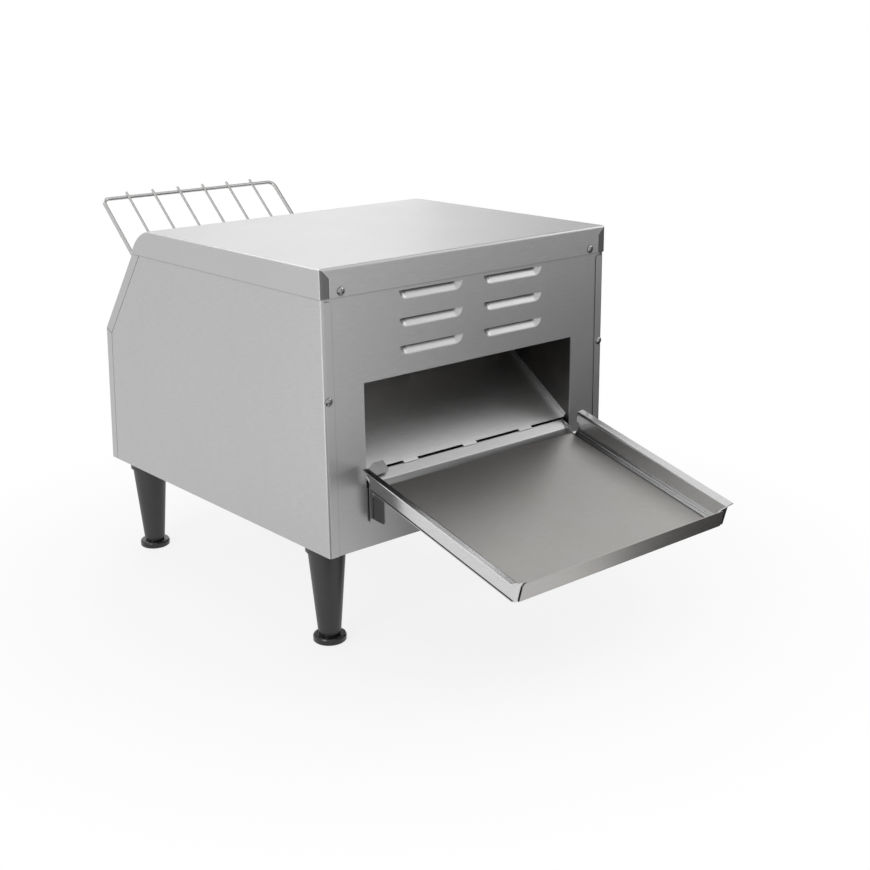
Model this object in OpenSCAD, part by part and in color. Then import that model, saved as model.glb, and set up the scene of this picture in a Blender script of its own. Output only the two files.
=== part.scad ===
// Two-slice-wide conveyor toaster: slices slide from the wire rack on to the wire belt, pass between quartz
// tubes and drop on to a chute that feeds the collecting tray at the opposite end.
// +Z is up, the discharge face looks along -Y and the feed face along +Y.

/* [Casing] */
// Width over the top cover
body_w = 368; // [340:1:440]
// Depth of the side panels, discharge face to the feed face's kink
body_d = 418; // [410:1:470]
// Height of the casing without its legs
body_h = 276; // [268:1:310]
// Height of the upright part of the feed face
kink_h = 156; // [150:1:162]
// Horizontal run of the slope above it
slope_run = 95; // [85:1:105]
// How much further out the upright part stands at its foot than at its top
lean = 11; // [0:1:14]
// Sheet thickness of the outer panels
sheet = 1; // [0.8:0.1:1.2]
// Outer radius of the panel folds
bend_r = 2.5; // [2:0.1:4]
// Gap between panels that meet on one face
panel_gap = 0.6; // [0.4:0.1:1]
// Width of the fold of each side panel on the discharge face
front_fold = 11.5; // [9:0.5:14]
// Width of the feed face's folds on the sides
side_fold = 13; // [10:0.5:16]

/* [Top cover] */
// Depth of the cover's side and front flanges
cover_drop = 27.5; // [22:0.5:34]
// Outer radius of the cover's rear bend
cover_bend_r = 50; // [30:1:55]
// Width of the side flange's tab on the discharge face
cover_tab = 9.5; // [7:0.5:12]

/* [Discharge face] */
// Width of the discharge face on each side of its opening
face_side = 47; // [44:1:52]
// Height of the opening's sill over the casing's floor
sill_h = 60; // [56:1:62]
// Height of the opening's top edge
opening_top = 163.5; // [150:0.5:172]
// Length of one louvre
louvre_w = 81; // [50:1:100]
// Height of one louvre
louvre_h = 10; // [6:0.5:14]
// How far a louvre is pressed in
louvre_depth = 6; // [4:0.5:7]
// Distance between louvre rows
louvre_pitch = 26.6; // [20:0.2:28]
// Rows of louvres
louvre_rows = 3; // [1:1:3]
// Gap between the two louvre columns
louvre_gap = 26; // [16:1:60]
// Height of the top louvre's straight edge
louvre_top = 244.3; // [238:0.5:246]

/* [Chute and lip] */
// Slope of the chute, rise over run
chute_slope = 0.685; // [0.6:0.005:0.72]
// Height of the lip's upper edge
lip_top = 74; // [72:0.5:76]
// How far the lip's upper edge is behind the discharge face
lip_back = 9; // [7:0.5:11]
// Length of one chute lug
lug_w = 18; // [10:1:26]
// Spacing of the chute lugs
lug_pitch = 77.5; // [50:0.5:90]
// Depth of the chute, front to back
chute_run = 85; // [60:1:90]
// Bottom edge of the apron under the lip
apron_low = 26; // [20:0.5:32]

/* [Belt] */
// Height of both shafts over the casing's floor
shaft_h = 158; // [157:0.5:160]
// Distance of the idler shaft from the feed face's kink
idler_in = 35; // [34:0.5:38]
// Least distance of the drive shaft from the discharge face
drive_least = 98; // [96:0.5:104]
// Distance between neighbouring belt wires
belt_pitch = 15; // [14.6:0.1:15.2]
// Distance of the belt's edges from the opening's sides
belt_side = 11; // [8:0.5:26]
// Wire diameter of the belt
belt_wire = 2.4; // [1.6:0.1:2.8]
// Teeth of a belt sprocket
belt_teeth = 8; // [8:4:8]
// Shaft diameter
shaft_d = 10; // [8:0.5:11]
// Width of a belt sprocket
sprocket_w = 4; // [2.5:0.5:6]
// Belt sprockets on a shaft
sprocket_count = 3; // [2:1:5]
// Distance of the outer belt sprockets from the belt's edges
sprocket_in = 26; // [18:1:50]

/* [Chain drive] */
// Chain pitch
chain_pitch = 6.35; // [6:0.05:6.6]
// Teeth of both chain sprockets
chain_teeth = 16; // [12:4:16]
// Pitches along a straight run of the chain
chain_steps = 16; // [15:1:16]
// Angle of the chain under the horizontal, from the drive shaft
chain_angle = 60; // [57:1:63]
// Radius of the gear motor's gearbox
gearbox_r = 30; // [24:0.5:31]
// Gearbox thickness
gearbox_t = 28; // [20:1:34]
// Motor can length
motor_l = 36; // [26:1:50]

/* [Heating] */
// Quartz tube diameter
tube_d = 10; // [8:0.5:12]
// Tubes above the belt
upper_tubes = 4; // [2:1:5]
// Tubes inside the belt
lower_tubes = 3; // [2:1:4]
// Height of the upper tubes
upper_tube_h = 232; // [226:0.5:236]
// Distance between neighbouring tubes
tube_pitch = 56; // [48:1:60]

/* [Legs] */
// Height of the casing's floor over the ground
stand_h = 103; // [90:1:120]
// Leg radius at the top
leg_top_r = 18.8; // [15:0.2:20]
// Leg radius at the bottom
leg_low_r = 11.6; // [9:0.2:13]
// Leg axis to the casing's side
leg_side = 23; // [22:0.5:32]
// Front leg axis to the discharge face
leg_end = 38; // [28:0.5:50]
// Rear leg axis to the feed face's foot
leg_rear = 45; // [36:0.5:56]
// How far a leg's collar stands out round its top
collar_out = 2.2; // [0.4:0.2:4]
// Foot disc radius
foot_r = 16.7; // [13:0.1:19]
// Foot disc height
foot_h = 7.5; // [5:0.5:10]
// How far a foot screws out
foot_travel = 12; // [5:1:20]

/* [Collecting tray] */
// Length of the tray floor down its slope
tray_l = 205; // [160:1:240]
// How far the tray floor reaches past the opening on each side
tray_over = 3; // [-2:0.5:5]
// Slope of the tray floor in degrees
tray_tilt = 14.3; // [8:0.1:18]
// Height of the tray's rear edge
tray_rear_h = 60.2; // [59:0.1:61]
// Gap between the tray's rear edge and the discharge face
tray_gap = 7.5; // [6:0.1:10]
// Height of the tray's front lip
tray_lip = 18.5; // [10:0.5:22]
// Height of the side rails
rail_h = 21; // [14:0.5:26]
// How far a rail flares outwards
rail_flare = 0.5; // [0.5:0.5:6]
// Width of the rail's top flange
rail_flange = 8; // [4:0.5:10]
// Rise of the top flange, from the rail to its tip
flange_rise = 0.8; // [0:0.1:3]

/* [Loading rack] */
// Wire diameter of the rack's frame
rack_frame_d = 4.6; // [3.5:0.1:5.5]
// Wire diameter of the rack's rods
rack_rod_d = 3; // [2:0.1:4]
// Distance of the frame's side wires from the opening's sides
rack_in = 16.2; // [14:0.1:26]
// Slope length of the rack
rack_l = 160; // [120:1:190]
// Rack angle over the horizontal
rack_angle = 42; // [36:0.5:46]
// Rods across the rack
rack_rods = 6; // [2:1:8]
// Distance between rods
rack_pitch = 35; // [20:0.5:40]

/* [Controls] */
// Knob diameter
knob_d = 36; // [28:1:44]
// Knob length
knob_l = 17; // [12:1:24]
// Distance of each knob from the middle
knob_x = 84; // [60:1:100]
// Height of the knobs
knob_h = 56; // [44:1:64]

/* [Electrical] */
// Size of the fan's square frame
fan_size = 80; // [60:1:92]
// Thickness of the fan
fan_t = 25; // [20:1:38]
// Width of the terminal block
terminal_w = 16; // [12:0.5:17]
// Distance between neighbouring terminals
terminal_pitch = 12.4; // [10:0.2:15]
// Terminals of the block
terminals = 6; // [3:1:10]
// Width of the speed regulator's board
board_w = 60; // [46:1:70]
// Height of the speed regulator's board
board_h = 48; // [40:1:56]
// Width of the selector switch
switch_w = 40; // [30:1:46]
// Depth of the selector switch
switch_depth = 34; // [24:1:44]
// Distance between the two indicator lamps
lamp_pitch = 28; // [20:1:50]
// Diameter of an indicator lamp
lamp_d = 9.8; // [7:0.2:12]
// Diameter of the cable gland's thread
gland_d = 16; // [12:1:20]

/* [Crumb tray] */
// Height of the crumb tray's floor
crumb_h = 110; // [109:0.5:112]
// Depth of the crumb tray's walls
crumb_wall = 16; // [10:0.5:17]

/* [Hidden] */

// Round surfaces of the whole model
$fn = 48;
// Running clearance on a radius, and the gap between pieces that move past each other
run_fit = 0.05;
slide_fit = 0.3;
move_gap = 0.5;
// Half width over the side panels, which lie inside the cover's flanges
side_x = body_w / 2 - sheet;
// Top of everything under the cover
under_top = body_h - sheet - 0.2;
side_top = body_h - bend_r - 0.2;
slope_angle = atan2(body_h - kink_h, slope_run);
lean_a = atan(lean / kink_h);
foot_y = body_d + lean;
rear_leg_y = foot_y - leg_rear;
cover_low = body_h - cover_drop;
opening_w = body_w - 2 * face_side;
tunnel_x = opening_w / 2 + 0.5;
inner_x = tunnel_x + sheet;

// Belt geometry: the wires lie on the sprockets' pitch circle
belt_w = opening_w - 2 * belt_side;
sprocket_span = belt_w - 2 * sprocket_in;
belt_r = belt_pitch / (2 * sin(180 / belt_teeth));
idler_y = body_d - idler_in;
belt_steps = floor((idler_y - drive_least) / belt_pitch + 0.001);
drive_y = idler_y - belt_steps * belt_pitch;
belt_top = shaft_h + belt_r + belt_wire / 2;
belt_low = shaft_h - belt_r - belt_wire / 2;

// Chain geometry, with both sprockets alike
chain_r = chain_pitch / (2 * sin(180 / chain_teeth));
chain_c = chain_steps * chain_pitch;
chain_x = inner_x + 11;
motor_y = drive_y + chain_c * cos(chain_angle);
motor_z = shaft_h - chain_c * sin(chain_angle);
output_d = 8;

// Rack: its lower end hangs in the feed guide
rack_w = opening_w - 2 * rack_in;
rack_low = [idler_y + belt_r + 2, belt_top - 2.8];
rod_over = rack_frame_d / 2 + 3;
hook_l = 16;
hook_in = 3;

// Width of the tray's floor, height of a rail's top flange over its underside, play between lip and rails
tray_w = opening_w + 2 * tray_over;
rail_top = rail_h + flange_rise + sheet;
lip_play = 0.2;

// The frame's origin is under the middle of the whole object, from the rails' tips to the ends of the rods
tray_front = tray_gap + (tray_l - sheet - lip_play) * cos(tray_tilt) + rail_top * sin(tray_tilt);
rack_rear = rack_low.x + (rack_l + rod_over) * cos(rack_angle)
    - (rack_frame_d - rack_rod_d) / 2 * sin(rack_angle);
mid_y = (rack_rear - tray_front) / 2;

// ---- Helpers ----

function unit(v) = v / norm(v);
function turned(v) = [-v.y, v.x];
function reversed(p) = [for (i = [len(p) - 1 : -1 : 0]) p[i]];
function mirrored(p) = [for (q = p) [-q.x, q.y]];
function wrapped(a) = ((a + 540) % 360) - 180;

// The round corner of radius r that a sheet or wire takes at b, between a and c
function corner(a, b, c, r, n) =
    let (u = unit(a - b), v = unit(c - b), half = acos(u * v) / 2)
    let (start = b + u * r / tan(half), middle = b + unit(u + v) * r / sin(half))
    let (from = atan2(start.y - middle.y, start.x - middle.x), end = b + v * r / tan(half))
    let (sweep = wrapped(atan2(end.y - middle.y, end.x - middle.x) - from))
    [for (k = [0 : n]) middle + r * [cos(from + sweep * k / n), sin(from + sweep * k / n)]];

// An open line with every inner corner rounded
function folded(p, r, n = 4) = concat(
    [p[0]],
    [for (i = [1 : len(p) - 2]) each corner(p[i - 1], p[i], p[i + 1], r, n)],
    [p[len(p) - 1]]
);

// The line offset to its left by d, with mitred corners
function offset_line(p, d) = [
    for (i = [0 : len(p) - 1])
    let (u = i > 0 ? unit(p[i] - p[i - 1]) : unit(p[1] - p[0]))
    let (v = i < len(p) - 1 ? unit(p[i + 1] - p[i]) : u)
    let (m = unit(turned(u) + turned(v)))
    p[i] + m * d / (m * turned(u))
];

// The outline of a sheet of thickness t to the left of a line
function band(p, t) = concat(p, reversed(offset_line(p, t)));

// The feed face's outline moved in by inset: a point at height z on the slope or on the leaning part, and the
// kink between them
function slope_y(inset, z) = body_d - (z - kink_h) / tan(slope_angle) - inset / sin(slope_angle);
function face_y(inset, z) = body_d + (kink_h - z) * tan(lean_a) - inset / cos(lean_a);
function kink_point(inset) =
    let (low = [cos(lean_a), sin(lean_a)], high = [sin(slope_angle), cos(slope_angle)])
    [body_d, kink_h] - inset * (low + high) / (1 + low * high);

// A side outline (y, z) inside the casing, inset from the feed face and rounded under the cover's bend
function side_outline(front, inset, low, high) =
    let (kink = kink_point(inset), top = [slope_y(inset, high), high])
    concat([[front, low], [face_y(inset, low), low], kink],
        corner(kink, top, [front, high], cover_bend_r - sheet, 12), [[front, high]]);

module place() {
    translate([0, -mid_y, stand_h]) children();
}

// A (y, z) profile carried along X
module along_x(width, x = 0) {
    translate([x, 0, 0]) rotate([90, 0, 90]) linear_extrude(width, center = true) children();
}

// An (x, z) profile carried from y0 to y1
module along_y(y0, y1) {
    translate([0, y1, 0]) rotate([90, 0, 0]) linear_extrude(y1 - y0) children();
}

// A round bar or hole along X, centred on x
module rod_x(r, length, y, z, x = 0) {
    translate([x, y, z]) rotate([0, 90, 0]) cylinder(r = r, h = length, center = true);
}

module both_sides() {
    children();
    mirror([1, 0, 0]) children();
}

// Local frames on the feed face: X stays, Y runs up the face and Z points into the casing
module on_control_face(x = 0, h = 0) {
    translate([0, body_d, kink_h]) rotate([90 + lean_a, 0, 0]) translate([x, h - kink_h, 0]) children();
}

module on_slope() {
    translate([0, body_d, kink_h]) rotate([180 - slope_angle, 0, 0]) children();
}

// A plate with rounded corners, in the plane of its local X and Y
module rounded_plate(w, h, t, r) {
    linear_extrude(t) rounded_outline(w, h, r);
}

module rounded_outline(w, h, r) {
    square([w - 2 * r, h], center = true);
    square([w, h - 2 * r], center = true);
    for (x = [-1, 1], y = [-1, 1]) translate([x * (w / 2 - r), y * (h / 2 - r)]) circle(r);
}

// ---- Casing ----

// The cover's outer or inner form: a flat top, a large rear bend and the start of the slope
module cover_form(inset) {
    half = body_w / 2 - inset;
    edge = max(bend_r - inset, 0.6);
    top_r = cover_bend_r - inset;
    rear_y = slope_y(-sheet, body_h);
    bend_y = rear_y - cover_bend_r * tan(slope_angle / 2);
    section = folded([[-half, -body_h], [-half, 0], [half, 0], [half, -body_h]], edge, 6);
    translate([0, 0, body_h - inset]) along_y(-sheet + inset, bend_y) polygon(section);
    translate([0, bend_y, body_h - cover_bend_r]) {
        rotate([0, 90, 0]) rotate([0, 0, 180 - slope_angle]) rotate_extrude(angle = slope_angle, $fn = 96)
            intersection() {
                rotate(-90) translate([0, top_r]) polygon(section);
                translate([0, -body_w]) square([body_w, 2 * body_w]);
            }
        rotate([-slope_angle, 0, 0]) translate([0, 0, top_r]) along_y(0, body_h / 2) polygon(section);
    }
}

module top_cover() {
    plan = folded([[-body_w / 2, body_d], [-body_w / 2, -sheet], [body_w / 2, -sheet], [body_w / 2, body_d]],
        bend_r, 6);
    color("gainsboro") difference() {
        intersection() {
            cover_form(0);
            translate([0, 0, cover_low]) linear_extrude(cover_drop + 1) polygon(plan);
            along_x(2 * body_w) polygon(folded([[-sheet, 0], [-sheet, body_h], [body_d, body_h], [body_d, 0]],
                bend_r, 6));
        }
        cover_form(sheet);
        // the corner mitre between the side flange's tab and the front flange
        for (s = [-1, 1]) translate([s * (body_w / 2 - cover_tab), -sheet - 0.1, cover_low - 1]) {
            translate([-0.2, 0, 0]) cube([0.4, sheet + 0.1, cover_drop + 1 - cover_tab]);
            translate([0, 0, cover_drop + 1 - cover_tab]) rotate([0, s * 45, 0])
                translate([-0.2, 0, 0]) cube([0.4, sheet + 0.1, cover_tab * 1.2]);
        }
        for (x = [-1, 1]) translate([x * cover_screw_x, 0, cover_screw_z]) rotate([90, 0, 0])
            cylinder(r = screw_r + 0.3, h = 3 * sheet, center = true);
    }
}

// Screws: pan heads outside the cover and the side folds
screw_r = 1.9;
screw_head_r = 3.9;
screw_head_h = 2.2;
cover_screw_x = body_w / 2 - 22.5;
cover_screw_z = cover_low + 5;
side_screw_x = side_x - 4.6;
side_screw_z = kink_h - 3;

module side_panel() {
    ff = side_fold + panel_gap;
    fold = [[-side_x, body_d], [-side_x, 0], [-side_x + front_fold - 1, 0]];
    difference() {
        intersection() {
            linear_extrude(side_top) polygon(band(folded(fold, bend_r, 6), sheet));
            along_x(2 * body_w) polygon(side_outline(-1, ff, 0, side_top));
        }
        // the front fold stops under the cover's flange, with a rounded corner
        along_y(-1, sheet + 0.1) difference() {
            translate([-side_x + bend_r + 1, cover_low - 6.5]) square([front_fold, cover_drop + 8]);
            translate([-side_x + front_fold - 4, cover_low - 6.5]) circle(3);
            translate([-side_x, cover_low - 6.5]) square([front_fold - 4, 3]);
        }
        translate([-side_screw_x, 0, side_screw_z]) rotate([90, 0, 0])
            cylinder(r = screw_r + 0.3, h = 3 * sheet, center = true);
    }
}

module left_side_panel() {
    color("silver") side_panel();
}

module right_side_panel() {
    color("silver") mirror([1, 0, 0]) side_panel();
}

// The louvre's pressed form is a round sweep: straight along the middle and turned at both ends
module louvre_sweep(inset, back) {
    straight = louvre_w - 2 * louvre_h;
    rotate([0, 90, 0]) linear_extrude(straight, center = true) louvre_section(inset, back);
    for (s = [0, 1]) mirror([s, 0, 0]) translate([-straight / 2, 0, 0]) rotate([90, 0, 0])
        rotate([0, 0, 180]) rotate_extrude(angle = 90) mirror([0, 1]) louvre_section(inset, back);
}

// Across the louvre: x is the distance under its straight edge, y how deep it is pressed. It slopes out to
// the panel's face and meets it in a round bend.
module louvre_section(inset, back) {
    slope = atan(louvre_depth / louvre_h);
    deep = [0, louvre_depth - inset / cos(slope)];
    shallow = [louvre_h - inset / sin(slope), 0];
    bend = back > 0 ? corner(deep, shallow, shallow + [louvre_h, 0], louvre_bend, 4) : [shallow];
    polygon(concat([[0, -back], deep], bend, [[bend[len(bend) - 1].x, -back]]));
}

louvre_bend = 3;
louvre_t = 0.8 * sheet;

module at_louvres() {
    for (row = [0 : louvre_rows - 1], s = [-1, 1])
        translate([s * (louvre_gap + louvre_w) / 2, sheet, louvre_top - row * louvre_pitch]) children();
}

module discharge_panel() {
    color("darkgray") difference() {
        union() {
            translate([bend_r - side_x, sheet, 0]) cube([2 * (side_x - bend_r), sheet, under_top]);
            at_louvres() louvre_sweep(0, 0);
        }
        at_louvres() louvre_sweep(louvre_t, 2);
        translate([-opening_w / 2, 0, sill_h]) cube([opening_w, 3 * sheet, opening_top - sill_h]);
        for (x = [-1, 1]) {
            translate([x * cover_screw_x, 0, cover_screw_z]) rotate([90, 0, 0])
                cylinder(r = screw_r, h = 6 * sheet, center = true);
            translate([x * side_screw_x, 0, side_screw_z]) rotate([90, 0, 0])
                cylinder(r = screw_r, h = 6 * sheet, center = true);
        }
    }
}

// Section of the feed face: a sheet with folds on to both sides
module face_channel(length) {
    line = [[-side_x, side_fold], [-side_x, 0], [side_x, 0], [side_x, side_fold]];
    mirror([0, 1, 0]) rotate([90, 0, 0]) linear_extrude(length) polygon(reversed(band_of_face(line)));
}

function band_of_face(line) = band(folded(line, bend_r, 6), sheet);

// The plane that halves the angle at the kink
module above_kink(gap) {
    translate([0, body_d, kink_h]) rotate([(90 + lean_a - slope_angle) / 2, 0, 0])
        translate([-body_w, -2 * side_fold, gap / 2]) cube([2 * body_w, 4 * side_fold, 2 * body_h]);
}

feed_low = 8;
feed_high = 82;
feed_side = 8;
feed_w = opening_w - 2 * feed_side;

module feed_panel() {
    length = (under_top - kink_h) / sin(slope_angle) - sheet / tan(slope_angle);
    color("lightgray") difference() {
        intersection() {
            on_slope() translate([0, -side_fold, 0]) face_channel(length + side_fold);
            union() {
                above_kink(panel_gap);
                translate([-body_w, 0, kink_h + 4]) cube([2 * body_w, body_d, body_h]);
            }
            translate([-body_w, 0, 0]) cube([2 * body_w, 2 * body_d, cover_low + 6]);
        }
        on_slope() translate([0, (feed_low + feed_high) / 2, -1])
            rounded_plate(feed_w, feed_high - feed_low, 3 * sheet, 4);
    }
}

runner_w = 16;
runner_drop = 10.5;
crumb_play = 1;
crumb_rear = lip_back + chute_run + runner_w;
crumb_slot_w = 2 * (tunnel_x - runner_w / 2 + crumb_play);

module control_panel() {
    color("lightgray") difference() {
        on_control_face(h = -side_fold) face_channel(kink_h + 2 * side_fold);
        intersection() {
            above_kink(-panel_gap);
            translate([-body_w, body_d - 3 * side_fold, 0]) cube([2 * body_w, 4 * side_fold, 2 * body_h]);
        }
        translate([-body_w, 0, -body_h]) cube([2 * body_w, 2 * body_d, body_h]);
        on_control_face() {
            translate([-crumb_slot_w / 2, crumb_h - 3, -1]) cube([crumb_slot_w, crumb_wall + 6, 3 * sheet]);
            for (x = [-knob_x, knob_x]) translate([x, knob_h, -1]) cylinder(r = 5.2, h = 3 * sheet);
            for (x = lamp_places) translate([x, lamp_h, -1]) cylinder(r = lamp_r, h = 3 * sheet);
        }
    }
}

lamp_r = lamp_d / 2;
lamp_h = knob_h + knob_d / 2;
lamp_places = [-lamp_pitch / 2, lamp_pitch / 2];
fan_x = -inner_x / 2;
fan_y = rear_leg_y - 1.2 * fan_size;
gland_r = gland_d / 2;
gland_x = -inner_x + 2.3 * gland_r;
gland_y = rear_leg_y - 2.5 * gland_r;
vent_l = 70;
vent_w = 4;
vent_count = 8;
vent_pitch = 9;

module at_legs() {
    for (x = [-1, 1], y = [leg_end, rear_leg_y]) translate([x * (side_x - leg_side), y, 0]) children();
}

module base_plate() {
    depth = foot_y - 3 * sheet;
    w = side_x - sheet - 0.3;
    turn_up = 12;
    profile = folded([[-w, turn_up], [-w, 0], [w, 0], [w, turn_up]], bend_r, 4);
    color("silver") difference() {
        along_y(2 * sheet, depth) polygon(reversed(band(profile, sheet)));
        at_legs() cylinder(r = 4.2, h = 4 * sheet, center = true);
        translate([gland_x, gland_y, 0]) cylinder(r = gland_r, h = 4 * sheet, center = true);
        // finger guard of the fan: slotted rings
        translate([fan_x, fan_y, -1]) for (r = [12 : 8 : fan_size / 2 - 4]) difference() {
            cylinder(r = r + 2.5, h = 3 * sheet);
            translate([0, 0, -1]) cylinder(r = r - 2.5, h = 5 * sheet);
            for (a = [0, 90]) rotate(a) translate([-2, -fan_size, -1]) cube([4, 2 * fan_size, 5 * sheet]);
        }
        for (i = [0 : vent_count - 1])
            translate([-fan_x, fan_y + (i - (vent_count - 1) / 2) * vent_pitch, 0])
                linear_extrude(4 * sheet, center = true) rounded_outline(vent_l, vent_w, vent_w / 2 - 0.1);
    }
}

// ---- Inner structure ----

wall_top = body_h - 14;
wall_fold = 9;
bolt_head_r = 7;

module inner_wall(side) {
    plate = side_outline(2 * sheet + 0.2, 2 * sheet, sheet, wall_top);
    difference() {
        along_x(sheet, tunnel_x + sheet / 2) polygon(plate);
        for (y = [drive_y, idler_y]) rod_x(bush_r, 8, y, shaft_h, tunnel_x);
        for (p = tube_places) rod_x(cap_r, 8, p.x, p.y, tunnel_x);
        if (side > 0) rod_x(output_d / 2 + 1.5, 8, motor_y, motor_z, tunnel_x);
    }
    // the wall's top and bottom folds, the bottom one cut out round the leg bolts
    fold_start = 3 * bend_r;
    fold_l = body_d - 3.5 * fold_start;
    translate([inner_x, fold_start, wall_top - sheet])
        cube([wall_fold, slope_y(2 * sheet, wall_top) - cover_bend_r / 2 - fold_start, sheet]);
    difference() {
        translate([inner_x, fold_start, sheet]) cube([wall_fold, fold_l, sheet]);
        at_legs() cylinder(r = bolt_head_r + 1, h = 4 * sheet);
    }
}

module left_inner_wall() {
    color("dimgray") mirror([1, 0, 0]) inner_wall(-1);
}

module right_inner_wall() {
    color("dimgray") inner_wall(1);
}

lip_front = -0.6 - sheet;
lip_slope = 0.8;
lip_r = 9;
// A point over the lip's strip
function over_lip(y, d) = [y, lip_top + (y - lip_back) * lip_slope + d];

// Local frame at the lip's upper edge: Y runs up the strip and Z off its face
module on_lip() {
    translate([0, lip_back, lip_top]) rotate([atan(lip_slope), 0, 0]) children();
}

// The lip: an apron on the discharge face, then a strip with round corners that runs up to the chute
module discharge_lip() {
    line = [[lip_front, apron_low], over_lip(lip_front, 0), over_lip(lip_back, 0), over_lip(lip_back, -5)];
    w = opening_w / 2 - 1.5;
    color("lightgray") {
        difference() {
            along_x(2 * w) polygon(band(folded(line, 1.2, 4), -sheet));
            both_sides() on_lip() translate([w - lip_r, -lip_r, -8]) difference() {
                cube([2 * lip_r, 2 * lip_r, 10]);
                cylinder(r = lip_r, h = 30, center = true);
            }
        }
        // welded spacers behind the apron
        for (x = [-1, 0, 1]) translate([x * opening_w / 3 - 8, lip_front + sheet, apron_low + 6])
            cube([16, -lip_front, 22]);
    }
}

chute_gap = 0.6;
lug_lap = 3.2;
chute_start = [lip_back + chute_gap, lip_top + chute_gap * chute_slope];
chute_end = chute_start + [chute_run, chute_run * chute_slope];

module discharge_chute() {
    slope = atan(chute_slope);
    length = chute_run / cos(slope);
    w = tunnel_x - 0.2;
    color("darkgray") {
        translate([0, chute_start.x, chute_start.y]) rotate([slope, 0, 0]) {
            difference() {
                translate([-w, 0, -sheet]) cube([2 * w, length, sheet + 6]);
                translate([-w + 0.8, -1, 0]) cube([2 * w - 1.6, length + 2, 8]);
            }
            // lugs that lap over the lip's upper edge
            for (i = [-1 : 1]) translate([i * lug_pitch - lug_w / 2, -chute_gap - lug_lap, -sheet + 1.3])
                cube([lug_w, chute_gap + lug_lap + 0.2, 0.8]);
            for (i = [-1 : 1]) translate([i * lug_pitch - lug_w / 2, -0.6, -sheet])
                cube([lug_w, 0.8, sheet + 1]);
        }
        // the turned-down upper edge
        translate([-w, chute_end.x - 0.9, chute_end.y - 9]) cube([2 * w, sheet, 8.6]);
    }
}

// A strip behind the feed opening's lower edge, with two slots for the rack's hooks
module feed_guide() {
    top = rack_low.y - 6;
    low = kink_h - 14;
    line = [[face_y(sheet, low), low], kink_point(sheet), [slope_y(sheet, top), top]];
    color("silver") difference() {
        along_x(2 * tunnel_x - 0.6) polygon(band(folded(line, 1.2, 3), sheet));
        for (x = [-rack_w / 2, rack_w / 2])
            translate([x - rack_frame_d / 2 - move_gap, body_d - 30, rack_low.y - hook_l - 2])
                cube([rack_frame_d + 2 * move_gap, 40, hook_l]);
    }
}

reflector_z = upper_tube_h + 15;

module upper_reflector() {
    rear = slope_y(20, reflector_z) - 6;
    line = [[22, upper_tube_h - 14], [30, reflector_z], [rear - 10, reflector_z], [rear, upper_tube_h + 4]];
    color("gainsboro") along_x(2 * tunnel_x - 0.4) polygon(band(folded(line, 2, 4), -0.8));
}

module lower_reflector() {
    low = shaft_h - belt_r + belt_wire / 2 + 3;
    line = [[drive_y + belt_r + 7, low + 9], [drive_y + belt_r + 7, low], [idler_y - belt_r - 7, low],
        [idler_y - belt_r - 7, low + 9]];
    color("gainsboro") along_x(2 * tunnel_x - 0.4) polygon(band(folded(line, 2, 4), 0.8));
}

// Tube centres as (y, z), above the belt and inside it
tube_mid = (drive_y + idler_y) / 2 - 6;
upper_places = [for (i = [0 : upper_tubes - 1]) [tube_mid - 22 + (i - (upper_tubes - 1) / 2) * tube_pitch,
    upper_tube_h]];
lower_places = [for (i = [0 : lower_tubes - 1]) [tube_mid + (i - (lower_tubes - 1) / 2) * tube_pitch,
    shaft_h + 3]];
tube_places = concat(upper_places, lower_places);
cap_r = tube_d / 2 + 2;
tube_l = 2 * tunnel_x + 18;
cap_l = 14;

module quartz_tube(p) {
    difference() {
        rod_x(tube_d / 2, tube_l, p.x, p.y);
        rod_x(tube_d / 2 - 1.2, tube_l + 2, p.x, p.y);
    }
}

module upper_quartz_tubes() {
    color("lightcyan") for (p = upper_places) quartz_tube(p);
}

module lower_quartz_tubes() {
    color("lightcyan") for (p = lower_places) quartz_tube(p);
}

module heating_coils() {
    color("orangered") for (p = tube_places) {
        rod_x(tube_d / 2 - 2, tube_l - 30, p.x, p.y);
        rod_x(0.8, tube_l + 20, p.x, p.y);
    }
}

// Ceramic ends that carry the tubes in the walls, each with a collar outside the wall
module tube_end_caps() {
    color("ivory") both_sides() for (p = tube_places) difference() {
        union() {
            rod_x(cap_r, cap_l, p.x, p.y, tunnel_x + cap_l / 2 - 3);
            rod_x(cap_r + 2, 3, p.x, p.y, inner_x + 1.5);
        }
        rod_x(tube_d / 2, 2 * cap_l, p.x, p.y, tube_l / 2 - cap_l);
        rod_x(1.2, 3 * cap_l, p.x, p.y, tube_l / 2);
    }
}

bush_r = shaft_d / 2 + 3;

module shaft_bushes() {
    color("peru") both_sides() for (y = [drive_y, idler_y]) difference() {
        union() {
            rod_x(bush_r, 7, y, shaft_h, inner_x + 0.5);
            rod_x(bush_r + 3, 2, y, shaft_h, inner_x + 1);
        }
        rod_x(shaft_d / 2 + run_fit, 20, y, shaft_h, inner_x);
    }
}

// ---- Conveyor ----

shaft_out = inner_x + 22;

module drive_shaft() {
    color("lightslategray") {
        difference() {
            rod_x(shaft_d / 2, inner_x + shaft_out + 6, drive_y, shaft_h, (shaft_out - inner_x - 6) / 2);
            translate([chain_x + 6, drive_y, shaft_h + shaft_d / 2 + 2]) cube([14, 12, 6], center = true);
        }
        for (s = [-1, 1]) rod_x(shaft_d / 2 + 2.5, 5, drive_y, shaft_h, s * (tunnel_x - 6.8));
    }
}

module idler_shaft() {
    color("lightslategray") {
        rod_x(shaft_d / 2, 2 * inner_x + 12, idler_y, shaft_h);
        for (s = [-1, 1]) rod_x(shaft_d / 2 + 2.5, 5, idler_y, shaft_h, s * (tunnel_x - 6.8));
    }
}

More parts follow.
